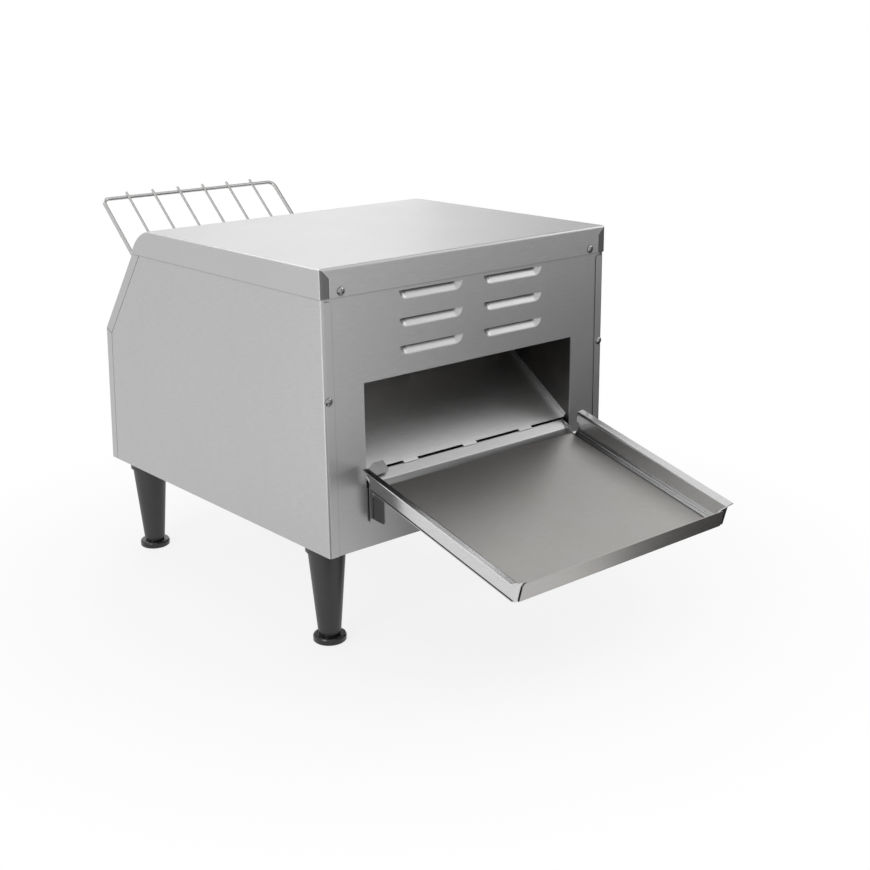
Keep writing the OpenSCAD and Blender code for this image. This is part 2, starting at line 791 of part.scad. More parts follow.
// A belt sprocket: round pockets for the wires between pointed teeth, and a hub
module belt_sprocket() {
    pocket = belt_wire / 2 + 0.25;
    tip = belt_r + 1.6;
    rotate([0, 90, 0]) difference() {
        union() {
            translate([0, 0, -sprocket_w / 2]) linear_extrude(sprocket_w) difference() {
                circle(tip);
                for (i = [0 : belt_teeth - 1]) rotate(i * 360 / belt_teeth) {
                    translate([belt_r, 0]) circle(pocket);
                    translate([belt_r, 0]) polygon([[0, -pocket], [4, -pocket - 2.6], [4, pocket + 2.6],
                        [0, pocket]]);
                }
                for (i = [0 : 3]) rotate(45 / 2 + i * 90) translate([belt_r * 0.6, 0]) circle(2.6);
            }
            cylinder(r = shaft_d / 2 + 3, h = sprocket_w + 10, center = true);
        }
        cylinder(r = shaft_d / 2, h = 3 * sprocket_w + 20, center = true);
    }
}

module sprocket_row(y) {
    for (i = [0 : sprocket_count - 1])
        translate([-sprocket_span / 2 + i * sprocket_span / (sprocket_count - 1), y, shaft_h])
            belt_sprocket();
}

module drive_sprockets() {
    color("gray") sprocket_row(drive_y);
}

module idler_sprockets() {
    color("gray") sprocket_row(idler_y);
}

// Where wire i of the belt lies: along the top, round the idler, back underneath, round the drive shaft
belt_arc = belt_teeth / 2;
belt_wires = 2 * (belt_steps + belt_arc);
function belt_at(i) =
    i < belt_steps ? [drive_y + i * belt_pitch, shaft_h + belt_r]
    : i < belt_steps + belt_arc ? round_at(idler_y, 90 - (i - belt_steps) * 180 / belt_arc)
    : i < 2 * belt_steps + belt_arc
        ? [idler_y - (i - belt_steps - belt_arc) * belt_pitch, shaft_h - belt_r]
    : round_at(drive_y, 270 - (i - 2 * belt_steps - belt_arc) * 180 / belt_arc);
function round_at(y, a) = [y + belt_r * cos(a), shaft_h + belt_r * sin(a)];

// Places along X where a wire steps across and hooks round the next one
hook_places = [for (x = [-0.49, -0.3, -0.11, 0.11, 0.3, 0.49]) x * belt_w];

module wire_belt() {
    color("lightsteelblue") for (i = [0 : belt_wires - 1]) {
        a = belt_at(i);
        b = belt_at((i + 1) % belt_wires);
        reach = b - a;
        union() {
            rod_x(belt_wire / 2, belt_w, a.x, a.y);
            for (x = hook_places) translate([x, a.x, a.y]) rotate([atan2(reach.y, reach.x), 0, 0])
                rotate([-90, 0, 0]) cylinder(r = belt_wire / 2 - 0.3, h = norm(reach) - belt_wire / 2 - 0.1);
        }
    }
}

// Chain frame: the drive shaft at the origin, the motor shaft along +X
module chain_frame() {
    translate([chain_x, drive_y, shaft_h]) rotate([-chain_angle, 0, 0]) rotate([90, 0, 90]) children();
}

function chain_at(i) =
    i < chain_steps ? [i * chain_pitch, chain_r]
    : i < chain_steps + chain_teeth / 2 ? chain_round(chain_c, 90 - (i - chain_steps) * 360 / chain_teeth)
    : i < 2 * chain_steps + chain_teeth / 2
        ? [chain_c - (i - chain_steps - chain_teeth / 2) * chain_pitch, -chain_r]
    : chain_round(0, 270 - (i - 2 * chain_steps - chain_teeth / 2) * 360 / chain_teeth);
function chain_round(x, a) = [x + chain_r * cos(a), chain_r * sin(a)];
chain_links = 2 * chain_steps + chain_teeth;
roller_r = 1.65;
chain_tooth_w = 2.8;

module chain_sprocket(bore_r, hub) {
    difference() {
        union() {
            linear_extrude(chain_tooth_w, center = true) difference() {
                circle(chain_r + 1.5);
                for (i = [0 : chain_teeth - 1]) rotate(i * 360 / chain_teeth) {
                    translate([chain_r, 0]) circle(roller_r + 0.1);
                    translate([chain_r, 0]) polygon([[0, -roller_r - 0.1], [3, -roller_r - 0.9],
                        [3, roller_r + 0.9], [0, roller_r + 0.1]]);
                }
            }
            translate([0, 0, -hub]) cylinder(r = bore_r + 3.5, h = hub);
        }
        cylinder(r = bore_r, h = 60, center = true);
    }
}

module drive_chain_sprocket() {
    color("slategray") chain_frame() rotate(90) chain_sprocket(shaft_d / 2, 6);
}

module motor_chain_sprocket() {
    color("slategray") chain_frame() translate([chain_c, 0, 0]) rotate(90)
        chain_sprocket(output_d / 2, 6);
}

module drive_chain() {
    color("darkslategray") chain_frame() for (i = [0 : chain_links - 1]) {
        a = chain_at(i);
        b = chain_at((i + 1) % chain_links);
        step = b - a;
        outer = i % 2 == 0;
        plate_z = outer ? 3.2 : 2.3;
        translate([a.x, a.y, 0]) cylinder(r = roller_r, h = 4, center = true, $fn = 24);
        for (s = [-1, 1]) translate([a.x, a.y, s * plate_z]) rotate(atan2(step.y, step.x))
            linear_extrude(0.75, center = true) {
                circle(2.3, $fn = 24);
                translate([norm(step), 0]) circle(2.3, $fn = 24);
                translate([0, -1.6]) square([norm(step), 3.2]);
            }
    }
}

module motor_output_shaft() {
    color("lightslategray") {
        rod_x(output_d / 2, chain_x + 8 - tunnel_x + 12, motor_y, motor_z, (chain_x + 8 + tunnel_x - 12) / 2);
    }
}

// A flat gearbox on the right inner wall by three feet, with the motor can and its rear boss behind it
module gear_motor() {
    face = tunnel_x - 1;
    foot = [3, 12, 12];
    bore_l = 11.5;
    color("darkslategray") difference() {
        union() {
            rod_x(gearbox_r, gearbox_t, motor_y, motor_z, face - gearbox_t / 2);
            rod_x(gearbox_r - 4, motor_l, motor_y, motor_z, face - gearbox_t - motor_l / 2);
            rod_x(9, 6, motor_y, motor_z, face - gearbox_t - motor_l - 2);
            for (a = [60 : 120 : 300]) translate([tunnel_x, motor_y, motor_z]) rotate([a, 0, 0])
                translate([-foot.x / 2, 0, gearbox_r - 1]) cube(foot, center = true);
            rod_x(gearbox_r - 8, 1.2, motor_y, motor_z, tunnel_x - 0.6);
        }
        rod_x(output_d / 2 + run_fit, 2 * gearbox_t, motor_y, motor_z, face + gearbox_t - bore_l);
    }
}

// ---- Electrical pieces ----

// The rotor turns on a pin under the hub, which four struts carry in the frame
fan_hub_r = 14;
fan_pin_r = 2.4;
strut = [3, 4];
fan_hole = [2.1, 4.2];
blades = 7;

module fan_frame() {
    bore_r = fan_size / 2 - 2.5;
    corner_x = fan_size / 2 - fan_hole[1];
    color("black") translate([fan_x, fan_y, sheet]) {
        difference() {
            linear_extrude(fan_t) rounded_outline(fan_size, fan_size, 4);
            translate([0, 0, -1]) cylinder(r = bore_r, h = fan_t + 2);
            for (x = [-1, 1], y = [-1, 1]) translate([x * corner_x, y * corner_x, -1])
                cylinder(r = fan_hole[0], h = fan_t + 2);
        }
        translate([0, 0, fan_t - strut.y]) {
            cylinder(r = fan_hub_r, h = strut.y);
            for (a = [45 : 90 : 315]) rotate(a) translate([fan_hub_r - 2, -strut.x / 2, 0])
                cube([bore_r - fan_hub_r + 3, strut.x, strut.y]);
        }
        translate([0, 0, 5]) cylinder(r = fan_pin_r, h = fan_t - 6);
    }
}

module fan_rotor() {
    color("dimgray") translate([fan_x, fan_y, sheet]) {
        difference() {
            translate([0, 0, 3]) cylinder(r = fan_hub_r, h = fan_t - 2 * strut.y);
            translate([0, 0, 4.5]) cylinder(r = fan_pin_r + run_fit, h = fan_t);
        }
        for (i = [0 : blades - 1]) rotate(i * 360 / blades) intersection() {
            translate([fan_hub_r - 1.5, 0, fan_t / 2 - 1.5]) rotate([38, 0, 0])
                translate([0, -11, -0.7]) cube([fan_size / 2 - fan_hub_r - 2.5, 22, 1.4]);
            translate([0, 0, 3.5]) cylinder(r = fan_size / 2 - 4, h = fan_t - 9);
        }
    }
}

// The block stands beside the left inner wall's bottom fold
module terminal_block() {
    base_h = 6;
    post_h = 17;
    length = terminals * terminal_pitch + 2;
    screw = 0.3 * (terminal_w - 3);
    color("whitesmoke")
        translate([-inner_x - wall_fold - move_gap - terminal_w, (body_d - length) / 2, sheet]) difference() {
            union() {
                cube([terminal_w, length, base_h]);
                for (i = [0 : terminals - 1]) translate([1.5, 2 + i * terminal_pitch, base_h - 1])
                    cube([terminal_w - 3, terminal_pitch - 2, post_h - base_h + 1]);
            }
            for (i = [0 : terminals - 1], x = [0.28, 0.72])
                translate([x * terminal_w, 1 + (i + 0.5) * terminal_pitch, post_h - 7])
                    cylinder(r = screw / 2, h = 10);
        }
}

// A hexagonal body under the base plate with its clamping cap, and a nut above it
module cable_gland() {
    hex_r = gland_r + 4.5;
    hex_h = 6;
    cap_h = 11;
    nut_h = 5;
    color("black") translate([gland_x, gland_y, 0]) difference() {
        union() {
            translate([0, 0, -hex_h]) cylinder(r = hex_r, h = hex_h, $fn = 6);
            translate([0, 0, -hex_h - cap_h]) cylinder(r1 = gland_r - 0.5, r2 = gland_r + 2, h = cap_h);
            translate([0, 0, -hex_h]) cylinder(r = gland_r - 0.05, h = hex_h + nut_h + 4);
            translate([0, 0, sheet]) cylinder(r = hex_r, h = nut_h, $fn = 6);
        }
        translate([0, 0, -body_h]) cylinder(r = 0.56 * gland_r, h = 2 * body_h);
    }
}

shaft_knob_r = 3;
knob_gap = 2.6;

module switch_body(w, depth) {
    difference() {
        union() {
            translate([-w / 2, -w / 2, sheet]) cube([w, w, depth]);
            translate([0, 0, -2]) cylinder(r = 5, h = sheet + 3);
        }
        translate([0, 0, -3]) cylinder(r = shaft_knob_r + run_fit, h = 16);
    }
}

module speed_regulator() {
    depth = 16;
    color("darkolivegreen") on_control_face(knob_x, knob_h) {
        switch_body(0.7 * switch_w, depth);
        translate([-board_w / 2, -board_h / 2, sheet + depth]) cube([board_w, board_h, 1.6]);
    }
}

module selector_switch() {
    tag = [0.075, 0.45] * switch_w;
    color("beige") on_control_face(-knob_x, knob_h) {
        switch_body(switch_w, switch_depth);
        for (i = [-1.5 : 1.5])
            translate([i * 0.23 * switch_w - tag.x / 2, -tag.y / 2, sheet + switch_depth - 0.5])
                cube([tag.x, tag.y, 7]);
    }
}

module indicator_lamps() {
    color("green") for (x = lamp_places) on_control_face(x, lamp_h) {
        translate([0, 0, -1.6]) cylinder(r1 = lamp_r + 0.4, r2 = lamp_r + 1.6, h = 1.6);
        cylinder(r = lamp_r - 0.1, h = 16);
        translate([0, 0, 16]) cylinder(r = 2, h = 8);
    }
}

// ---- Knobs ----

// A skirted knob with a fluted grip and a pointer line, its shaft through the panel
module knob() {
    skirt = 2;
    flare = 3;
    flutes = 12;
    flute_r = 4.4;
    pointer = 1.4;
    translate([0, 0, -knob_l - knob_gap]) difference() {
        union() {
            cylinder(r = knob_d / 2 - 3, h = knob_l);
            translate([0, 0, knob_l - skirt - flare])
                cylinder(r1 = knob_d / 2 - 2.5, r2 = knob_d / 2, h = flare);
            translate([0, 0, knob_l - skirt]) cylinder(r = knob_d / 2, h = skirt);
        }
        for (i = [0 : flutes - 1]) rotate(i * 360 / flutes) translate([knob_d / 2 + 0.3, 0, -1])
            cylinder(r = flute_r, h = knob_l - skirt - flare + 0.5);
        translate([-pointer / 2, 3, -1]) cube([pointer, knob_d / 2 - 5, 1.8]);
    }
    translate([0, 0, -2 * knob_gap]) cylinder(r = shaft_knob_r, h = 14 + 2 * knob_gap - 5);
}

module speed_knob() {
    color("black") on_control_face(knob_x, knob_h) knob();
}

module selector_knob() {
    color("black") on_control_face(-knob_x, knob_h) knob();
}

// ---- Crumb tray ----

module crumb_tray() {
    w = crumb_slot_w / 2 - crumb_play;
    line = [[-w, crumb_wall], [-w, 0], [w, 0], [w, crumb_wall]];
    low = crumb_h - 6;
    high = crumb_h + crumb_wall + 5;
    lip_y = face_y(-15, high);
    seat = -move_gap - sheet / 2;
    front = [[face_y(-move_gap, low), low], [face_y(-move_gap, high), high],
        [lip_y, high + 4], [lip_y, high - 3]];
    color("silver") {
        difference() {
            translate([0, 0, crumb_h]) along_y(crumb_rear, foot_y)
                polygon(reversed(band(folded(line, 2, 3), sheet)));
            along_x(2 * body_w) polygon([[face_y(seat, low), low], [foot_y + sheet, low],
                [foot_y + sheet, high], [face_y(seat, high), high]]);
        }
        translate([-w + sheet, crumb_rear, crumb_h + sheet / 2])
            cube([2 * (w - sheet), sheet, crumb_wall - sheet]);
        // the front plate with its folded finger lip
        along_x(2 * w + bend_r * 4) polygon(band(folded(front, 1.6, 4), -sheet));
    }
}

module crumb_tray_runners() {
    length = body_d - crumb_rear - runner_w;
    under = crumb_h - slide_fit - sheet;
    color("silver") both_sides() {
        translate([tunnel_x - runner_w, crumb_rear, under]) cube([runner_w, length, sheet]);
        translate([tunnel_x - sheet, crumb_rear, under - runner_drop + sheet / 2])
            cube([sheet, length, runner_drop]);
    }
}

// ---- Legs ----

module leg() {
    collar = 6.5;
    color("#2b2b2b") difference() {
        union() {
            translate([0, 0, -collar]) cylinder(r = leg_top_r + collar_out, h = collar);
            translate([0, 0, -stand_h + foot_h + 4]) cylinder(r1 = leg_low_r, r2 = leg_top_r,
                h = stand_h - foot_h - 4 - collar + 0.01);
        }
        translate([0, 0, -stand_h]) cylinder(r = 4 + run_fit, h = 45);
        translate([0, 0, -30]) cylinder(r = 3.9, h = 40);
    }
}

function leg_x(s) = s * (side_x - leg_side);

module front_left_leg() {
    translate([leg_x(-1), leg_end, 0]) leg();
}

module front_right_leg() {
    translate([leg_x(1), leg_end, 0]) leg();
}

module rear_left_leg() {
    translate([leg_x(-1), rear_leg_y, 0]) leg();
}

module rear_right_leg() {
    translate([leg_x(1), rear_leg_y, 0]) leg();
}

module leg_bolts() {
    color("silver") at_legs() {
        translate([0, 0, sheet]) cylinder(r = bolt_head_r, h = 5, $fn = 6);
        translate([0, 0, -26]) cylinder(r = 3.9, h = 29);
    }
}

module foot() {
    color("#161616") translate([0, 0, -stand_h]) {
        rotate_extrude() polygon([[0, 0], [foot_r - 1.2, 0], [foot_r, 1.2], [foot_r, foot_h - 2],
            [foot_r - 0.8, foot_h - 0.6], [foot_r - 2.4, foot_h], [0, foot_h]]);
        cylinder(r = leg_low_r - 1, h = foot_h + 3.4);
        cylinder(r = 4, h = foot_h + 30);
    }
}

module front_left_foot() {
    translate([leg_x(-1), leg_end, 0]) foot();
}

module front_right_foot() {
    translate([leg_x(1), leg_end, 0]) foot();
}

module rear_left_foot() {
    translate([leg_x(-1), rear_leg_y, 0]) foot();
}

module rear_right_foot() {
    translate([leg_x(1), rear_leg_y, 0]) foot();
}

// ---- Collecting tray ----

// Local frame on the tray's floor: -Y runs down its slope
module tray_frame() {
    translate([0, -tray_gap, tray_rear_h]) rotate([tray_tilt, 0, 0]) children();
}

module collecting_tray() {
    half = tray_w / 2;
    floor_line = [[0, 0], [-tray_l, 0], [-tray_l, tray_lip]];
    color("silver") tray_frame() {
        difference() {
            along_x(tray_w) polygon(band(folded(floor_line, 1.8, 4), -sheet));
            // the lip is shorter than the floor and slants at both ends
            for (s = [-1, 1]) translate([s * half, -tray_l, 0]) linear_extrude(2 * tray_lip)
                square([10, 8], center = true);
            for (s = [-1, 1]) along_y(-tray_l - 4, -tray_l + 3)
                polygon([[s * (half - 5), 0], [s * (half - 5.5), tray_lip - 3],
                    [s * (half - 8), tray_lip + 1], [s * (half + 9), tray_lip + 1], [s * (half + 9), 0]]);
        }
    }
}

// Each rail is a Z-shaped sheet on the floor, with a tab folded round the front corner
module tray_side_rails() {
    half = tray_w / 2;
    foot_w = 8;
    line = [[half - foot_w, sheet], [half, sheet], [half + rail_flare, rail_h],
        [half + rail_flare + rail_flange, rail_top - sheet]];
    front = -tray_l + sheet + lip_play;
    color("silver") difference() {
        tray_frame() both_sides() {
            along_y(front, rail_h) polygon(band(folded(line, 2, 4), sheet));
            // the tab behind the lip
            along_y(front, front + sheet) polygon([[half - 12, sheet], [half - 12, rail_h - 3.5],
                [half - 9, rail_h - 1.5], [half + rail_flare - 0.5, rail_h - 0.5], [half, sheet]]);
        }
        // the rear ends are cut upright
        translate([-body_w, -tray_gap - 0.5, 0]) cube([2 * body_w, body_d, body_h]);
    }
}

hook_t = 1.2;
hook_over = 3;
flap = [10.5, 13.5];
flap_top = 4.5;
flap_r = 4;

// A plate at each rear corner: its upper end lies over the lip and its foot bears on the apron
module tray_hook_plates() {
    x = opening_w / 2 - 5.5;
    bear = lip_front - 0.35;
    front = -tray_gap - 11.5;
    low = apron_low + 1;
    under = tray_rear_h + (front + tray_gap) * tan(tray_tilt);
    color("silver") {
        both_sides() along_x(hook_t, x) polygon([[bear, low + 1], [front + 2, low], [front, low + 3],
            [front, under], [-tray_gap, tray_rear_h], [-tray_gap + 0.1, tray_rear_h + 3], over_lip(-4, 5),
            over_lip(0, 2.2), over_lip(6.5, 2.1), over_lip(6.5, 0.6), over_lip(bear - 1.5, 1.2),
            [bear - 1.5, low + 25], [bear, low + 23]]);
        mirror([1, 0, 0]) on_lip() hook_flap(x + hook_t / 2, 12);
    }
}

// The left plate's flap: its outer part slopes down to the plate at x
module hook_flap(x, slope_w) {
    low = flap_top - flap.y;
    translate([x - slope_w - flap.x, low, hook_over]) {
        translate([flap_r, 0, 0]) cube([flap.x - flap_r + 0.1, flap.y, hook_t]);
        translate([0, flap_r, 0]) cube([flap_r + 1, flap.y - flap_r, hook_t]);
        translate([flap_r, flap_r, 0]) cylinder(r = flap_r, h = hook_t);
    }
    difference() {
        along_y(low, flap_top) polygon([[x - slope_w, hook_over], [x, 0.45], [x, 0.45 + hook_t],
            [x - slope_w, hook_over + hook_t]]);
        translate([x - slope_w + 2, flap_top, -1]) rotate([0, 0, -32])
            cube([2 * slope_w, flap.y, 3 * hook_over]);
    }
}

// ---- Loading rack ----

// Local frame on the rack: X across, Y up its slope, Z out of its plane
module rack_frame_at() {
    translate([0, rack_low.x, rack_low.y]) rotate([rack_angle, 0, 0]) children();
}

module bar(a, b, r) {
    d = b - a;
    translate(a) rotate([0, acos(d.z / norm(d)), atan2(d.y, d.x)]) cylinder(r = r, h = norm(d));
}

module loading_rack() {
    half = rack_w / 2;
    r = rack_frame_d / 2;
    bend = 8;
    color("lightgray") {
        rack_frame_at() {
            both_sides() {
                bar([half, 0, 0], [half, rack_l - bend, 0], r);
                translate([half - bend, rack_l - bend, 0]) rotate_extrude(angle = 90)
                    translate([bend, 0]) circle(r);
                translate([half, 0, 0]) sphere(r);
            }
            bar([-half + bend, rack_l, 0], [half - bend, rack_l, 0], r);
            bar([-half, 1, 0], [half, 1, 0], r * 0.8);
            for (i = [0 : rack_rods - 1]) translate([(i - (rack_rods - 1) / 2) * rack_pitch, 0, 0])
                bar([0, 0, r], [0, rack_l + rod_over, r], rack_rod_d / 2);
        }
        // the hooks that stand in the feed guide's slots
        for (x = [-half, half]) translate([x, rack_low.x + hook_in, rack_low.y - hook_l])
            cylinder(r = r, h = hook_l + hook_in * tan(rack_angle));
    }
}

// ---- Screws ----

module pan_screw(length) {
    dome_r = 5.6;
    recess = [4.4, 0.9, 1.3];
    rotate([90, 0, 0]) {
        difference() {
            intersection() {
                cylinder(r = screw_head_r, h = screw_head_h);
                translate([0, 0, screw_head_h - dome_r]) sphere(dome_r);
            }
            for (a = [0, 90]) rotate(a) translate([-recess.x / 2, -recess.y / 2, screw_head_h - recess.z])
                cube([recess.x, recess.y, 2 * recess.z]);
        }
        translate([0, 0, -length]) cylinder(r = screw_r, h = length + 0.01);
    }
}

module cover_screws() {
    color("dimgray") for (s = [-1, 1]) {
        translate([s * cover_screw_x, -sheet, cover_screw_z]) pan_screw(8);
        translate([s * side_screw_x, 0, side_screw_z]) pan_screw(8);
    }
}

// ---- Drawing ----

place() top_cover();
place() left_side_panel();
place() right_side_panel();
place() discharge_panel();
place() feed_panel();
place() control_panel();
place() base_plate();
place() left_inner_wall();
place() right_inner_wall();
place() discharge_chute();
place() discharge_lip();
place() feed_guide();
place() upper_reflector();
place() lower_reflector();
place() upper_quartz_tubes();
place() lower_quartz_tubes();
place() heating_coils();
place() tube_end_caps();
place() shaft_bushes();
place() gear_motor();
place() fan_frame();
place() terminal_block();
place() cable_gland();
place() speed_regulator();
place() selector_switch();
place() indicator_lamps();
place() crumb_tray_runners();
place() cover_screws();
place() front_left_leg();
place() front_right_leg();
place() rear_left_leg();
place() rear_right_leg();
place() leg_bolts();
place() drive_shaft();
place() drive_sprockets();
place() drive_chain_sprocket();
place() idler_shaft();
place() idler_sprockets();
place() motor_output_shaft();
place() motor_chain_sprocket();
place() wire_belt();
place() drive_chain();
place() fan_rotor();
place() speed_knob();
place() selector_knob();
place() collecting_tray();
place() tray_side_rails();
place() tray_hook_plates();
place() crumb_tray();
place() loading_rack();
place() front_left_foot();
place() front_right_foot();
place() rear_left_foot();
place() rear_right_foot();
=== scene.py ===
"""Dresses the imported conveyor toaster: finishes, heating coils, dial figures, floor, light and camera."""
import math

import bmesh
import bpy
from bpy.props import FloatProperty, FloatVectorProperty, IntProperty, PointerProperty
from mathutils import Matrix, Vector


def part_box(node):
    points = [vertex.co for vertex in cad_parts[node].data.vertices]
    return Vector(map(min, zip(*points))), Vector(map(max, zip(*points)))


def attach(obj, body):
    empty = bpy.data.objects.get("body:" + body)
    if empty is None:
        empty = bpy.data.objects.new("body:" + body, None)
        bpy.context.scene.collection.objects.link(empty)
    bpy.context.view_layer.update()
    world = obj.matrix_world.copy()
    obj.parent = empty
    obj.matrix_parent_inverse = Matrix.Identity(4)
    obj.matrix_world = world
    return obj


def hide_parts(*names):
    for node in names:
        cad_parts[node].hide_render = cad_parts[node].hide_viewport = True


bl_info = {
    "name": "Conveyor toaster",
    "version": (1, 0, 0),
    "blender": (4, 5, 0),
    "location": "View3D > Sidebar > Toaster",
    "description": "Finishes, trim, floor, light and camera of a conveyor toaster",
    "category": "Object",
}

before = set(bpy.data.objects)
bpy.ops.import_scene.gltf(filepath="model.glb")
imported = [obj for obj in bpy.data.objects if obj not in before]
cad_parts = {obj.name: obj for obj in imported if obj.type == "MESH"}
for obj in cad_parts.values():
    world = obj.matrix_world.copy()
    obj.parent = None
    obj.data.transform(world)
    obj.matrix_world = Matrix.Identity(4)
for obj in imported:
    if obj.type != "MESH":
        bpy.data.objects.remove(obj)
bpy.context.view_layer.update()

# The casing's own origin: the middle of its discharge face, at the level of its floor
ORIGIN = Vector((0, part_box("left_side_panel")[0].y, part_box("base_plate")[0].z))
ALONG_X, ALONG_Y, ALONG_Z = (1, 0, 0), (0, 1, 0), (0, 0, 1)
WHITE = (1, 1, 1, 1)


def colour(name, words, default):
    return FloatVectorProperty(
        name=name, description=words, subtype="COLOR", size=3, min=0, max=1, default=default
    )


def length(name, words, default):
    return FloatProperty(name=name, description=words, subtype="DISTANCE", unit="LENGTH", default=default)


def share(name, words, default):
    return FloatProperty(name=name, description=words, subtype="FACTOR", min=0, max=1, default=default)


def power(name, words, default):
    return FloatProperty(name=name, description=words, unit="POWER", min=0, default=default)


def strength(name, words, default):
    return FloatProperty(name=name, description=words, min=0, default=default)


def angle(name, words, degrees):
    return FloatProperty(name=name, description=words, subtype="ANGLE", default=math.radians(degrees))


class ToasterSteel(bpy.types.PropertyGroup):
    """Sheet metal and wire"""

    cover: colour("Cover", "Colour of the top cover", (0.49, 0.49, 0.493))
    panels: colour("Panels", "Colour of the outer panels", (0.485, 0.485, 0.488))
    inside: colour("Inside", "Colour of the sheets inside the tunnel", (0.11, 0.11, 0.108))
    chute: colour("Chute", "Colour of the discharge chute", (0.93, 0.93, 0.93))
    rails: colour("Rails", "Colour of the tray's side rails", (0.64, 0.64, 0.643))
    # painted shade: the hook plates are set far darker than the rails to stand for the shade they hang in
    hooks: colour("Hooks", "Colour of the tray's hook plates", (0.27, 0.27, 0.273))
    tray: colour("Tray", "Colour of the collecting tray", (0.46, 0.452, 0.44))
    wire: colour("Wire", "Colour of the belt", (0.55, 0.55, 0.55))
    rack: colour("Rack", "Colour of the loading rack's wire", (0.50, 0.50, 0.495))
    screws: colour("Screws", "Colour of the screws", (0.32, 0.32, 0.32))
    turned: colour("Turned steel", "Colour of shafts and sprockets", (0.48, 0.48, 0.49))
    dark: colour("Oiled steel", "Colour of the chain and its sprockets", (0.16, 0.16, 0.165))
    bronze: colour("Bronze", "Colour of the shaft bushes", (0.42, 0.26, 0.12))
    coil: colour("Coils", "Colour of the heating wire", (0.22, 0.19, 0.17))
    tint: colour("Heat tint", "Straw colour that hot sheets take", (0.40, 0.31, 0.20))
    # painted shade: how much the sheets are darkened in gaps and inner corners
    seams: share("Seams", "How dark the sheets are in gaps and inner corners", 0.9)
    roughness: share("Roughness", "Roughness of the brushed sheets", 0.40)
    grain: length("Grain", "Width of one brushing line", 0.0006)
    grain_run: length("Grain length", "Length of one brushing line", 0.012)


class ToasterMouldings(bpy.types.PropertyGroup):
    """Plastic, ceramic and glass"""

    leg: colour("Legs", "Colour of the legs", (0.028, 0.028, 0.030))
    foot: colour("Feet", "Colour of the screw feet", (0.006, 0.006, 0.007))
    knob: colour("Knobs", "Colour of the knobs and the fan", (0.022, 0.022, 0.024))
    motor: colour("Motor", "Colour of the motor's paint", (0.05, 0.055, 0.06))
    white: colour("White mouldings", "Colour of the terminal block and switch", (0.74, 0.73, 0.70))
    board: colour("Board", "Colour of the regulator's board", (0.03, 0.16, 0.07))
    lens: colour("Lamp lens", "Colour of the indicator lamps", (0.05, 0.50, 0.12))
    ceramic: colour("Ceramic", "Colour of the tube ends", (0.78, 0.74, 0.66))
    quartz: colour("Quartz", "Colour of the tubes", (0.93, 0.96, 0.97))
    figures: colour("Figures", "Colour of the printed dial figures", (0.02, 0.02, 0.022))


class ToasterDetails(bpy.types.PropertyGroup):
    """Pieces that are added to the solids"""

    coil_turns: IntProperty(
        name="Coil turns", description="Turns of a heating coil", min=20, max=200, default=90
    )
    coil_wire: length("Coil wire", "Thickness of the heating wire", 0.0007)
    figure_size: length("Figure size", "Height of the dial figures", 0.0062)
    scale_radius: length("Scale radius", "Radius of the ring of dial marks", 0.0222)
    mark_length: length("Mark length", "Length of a dial mark", 0.0034)


class ToasterStage(bpy.types.PropertyGroup):
    """Floor, light and camera"""

    floor: colour("Floor", "Colour of the floor", (0.93, 0.93, 0.93))
    backdrop: strength("Backdrop", "Strength of the white backdrop", 1.0)
    lift: share("Lift", "How much of the backdrop's white the floor shows near the toaster", 0.82)
    flag: colour("Flags", "Colour of the cards that the steel reflects", (0.015, 0.015, 0.016))
    glow: strength("Glow", "Strength of the bright cards that the bends reflect", 3.5)
    ambient: strength("Ambient", "Strength of the light from all round", 0.62)
    key: power("Key", "Power of the large lamp behind on the right", 6)
    front: power("Front", "Power of the lamp before the chute", 4.5)
    side: power("Side", "Power of the lamp on the left", 9)
    focal: FloatProperty(
        name="Focal length", description="Lens of the camera", unit="CAMERA", default=57.335
    )
    eye: FloatVectorProperty(
        name="Eye", description="Camera's place from the casing's origin",
        subtype="TRANSLATION", unit="LENGTH", default=(-0.8897, -0.9908, 0.4958),
    )
    heading: angle("Heading", "Turn of the view from +Y towards +X", 40.21)
    pitch: angle("Pitch", "Angle of the view below the horizon", 17.15)
    roll: angle("Roll", "Turn of the camera about its view", 0.75)


# ---- Shaders ----


class Wire:
    """A shader value that Python's operators work on, each adding its Math node."""

    def __init__(self, shader, socket):
        self.shader = shader
        self.socket = socket

    def maths(self, operation, first, second):
        return self.shader.add("ShaderNodeMath", {"operation": operation}, {0: first, 1: second})

    def __add__(self, other):
        return self.maths("ADD", self, other)

    def __sub__(self, other):
        return self.maths("SUBTRACT", self, other)

    def __rsub__(self, other):
        return self.maths("SUBTRACT", other, self)

    def __mul__(self, other):
        return self.maths("MULTIPLY", self, other)

    def __abs__(self):
        return self.maths("ABSOLUTE", self, 0)

    def above(self, other):
        return self.maths("GREATER_THAN", self, other)

    __radd__ = __add__
    __rmul__ = __mul__


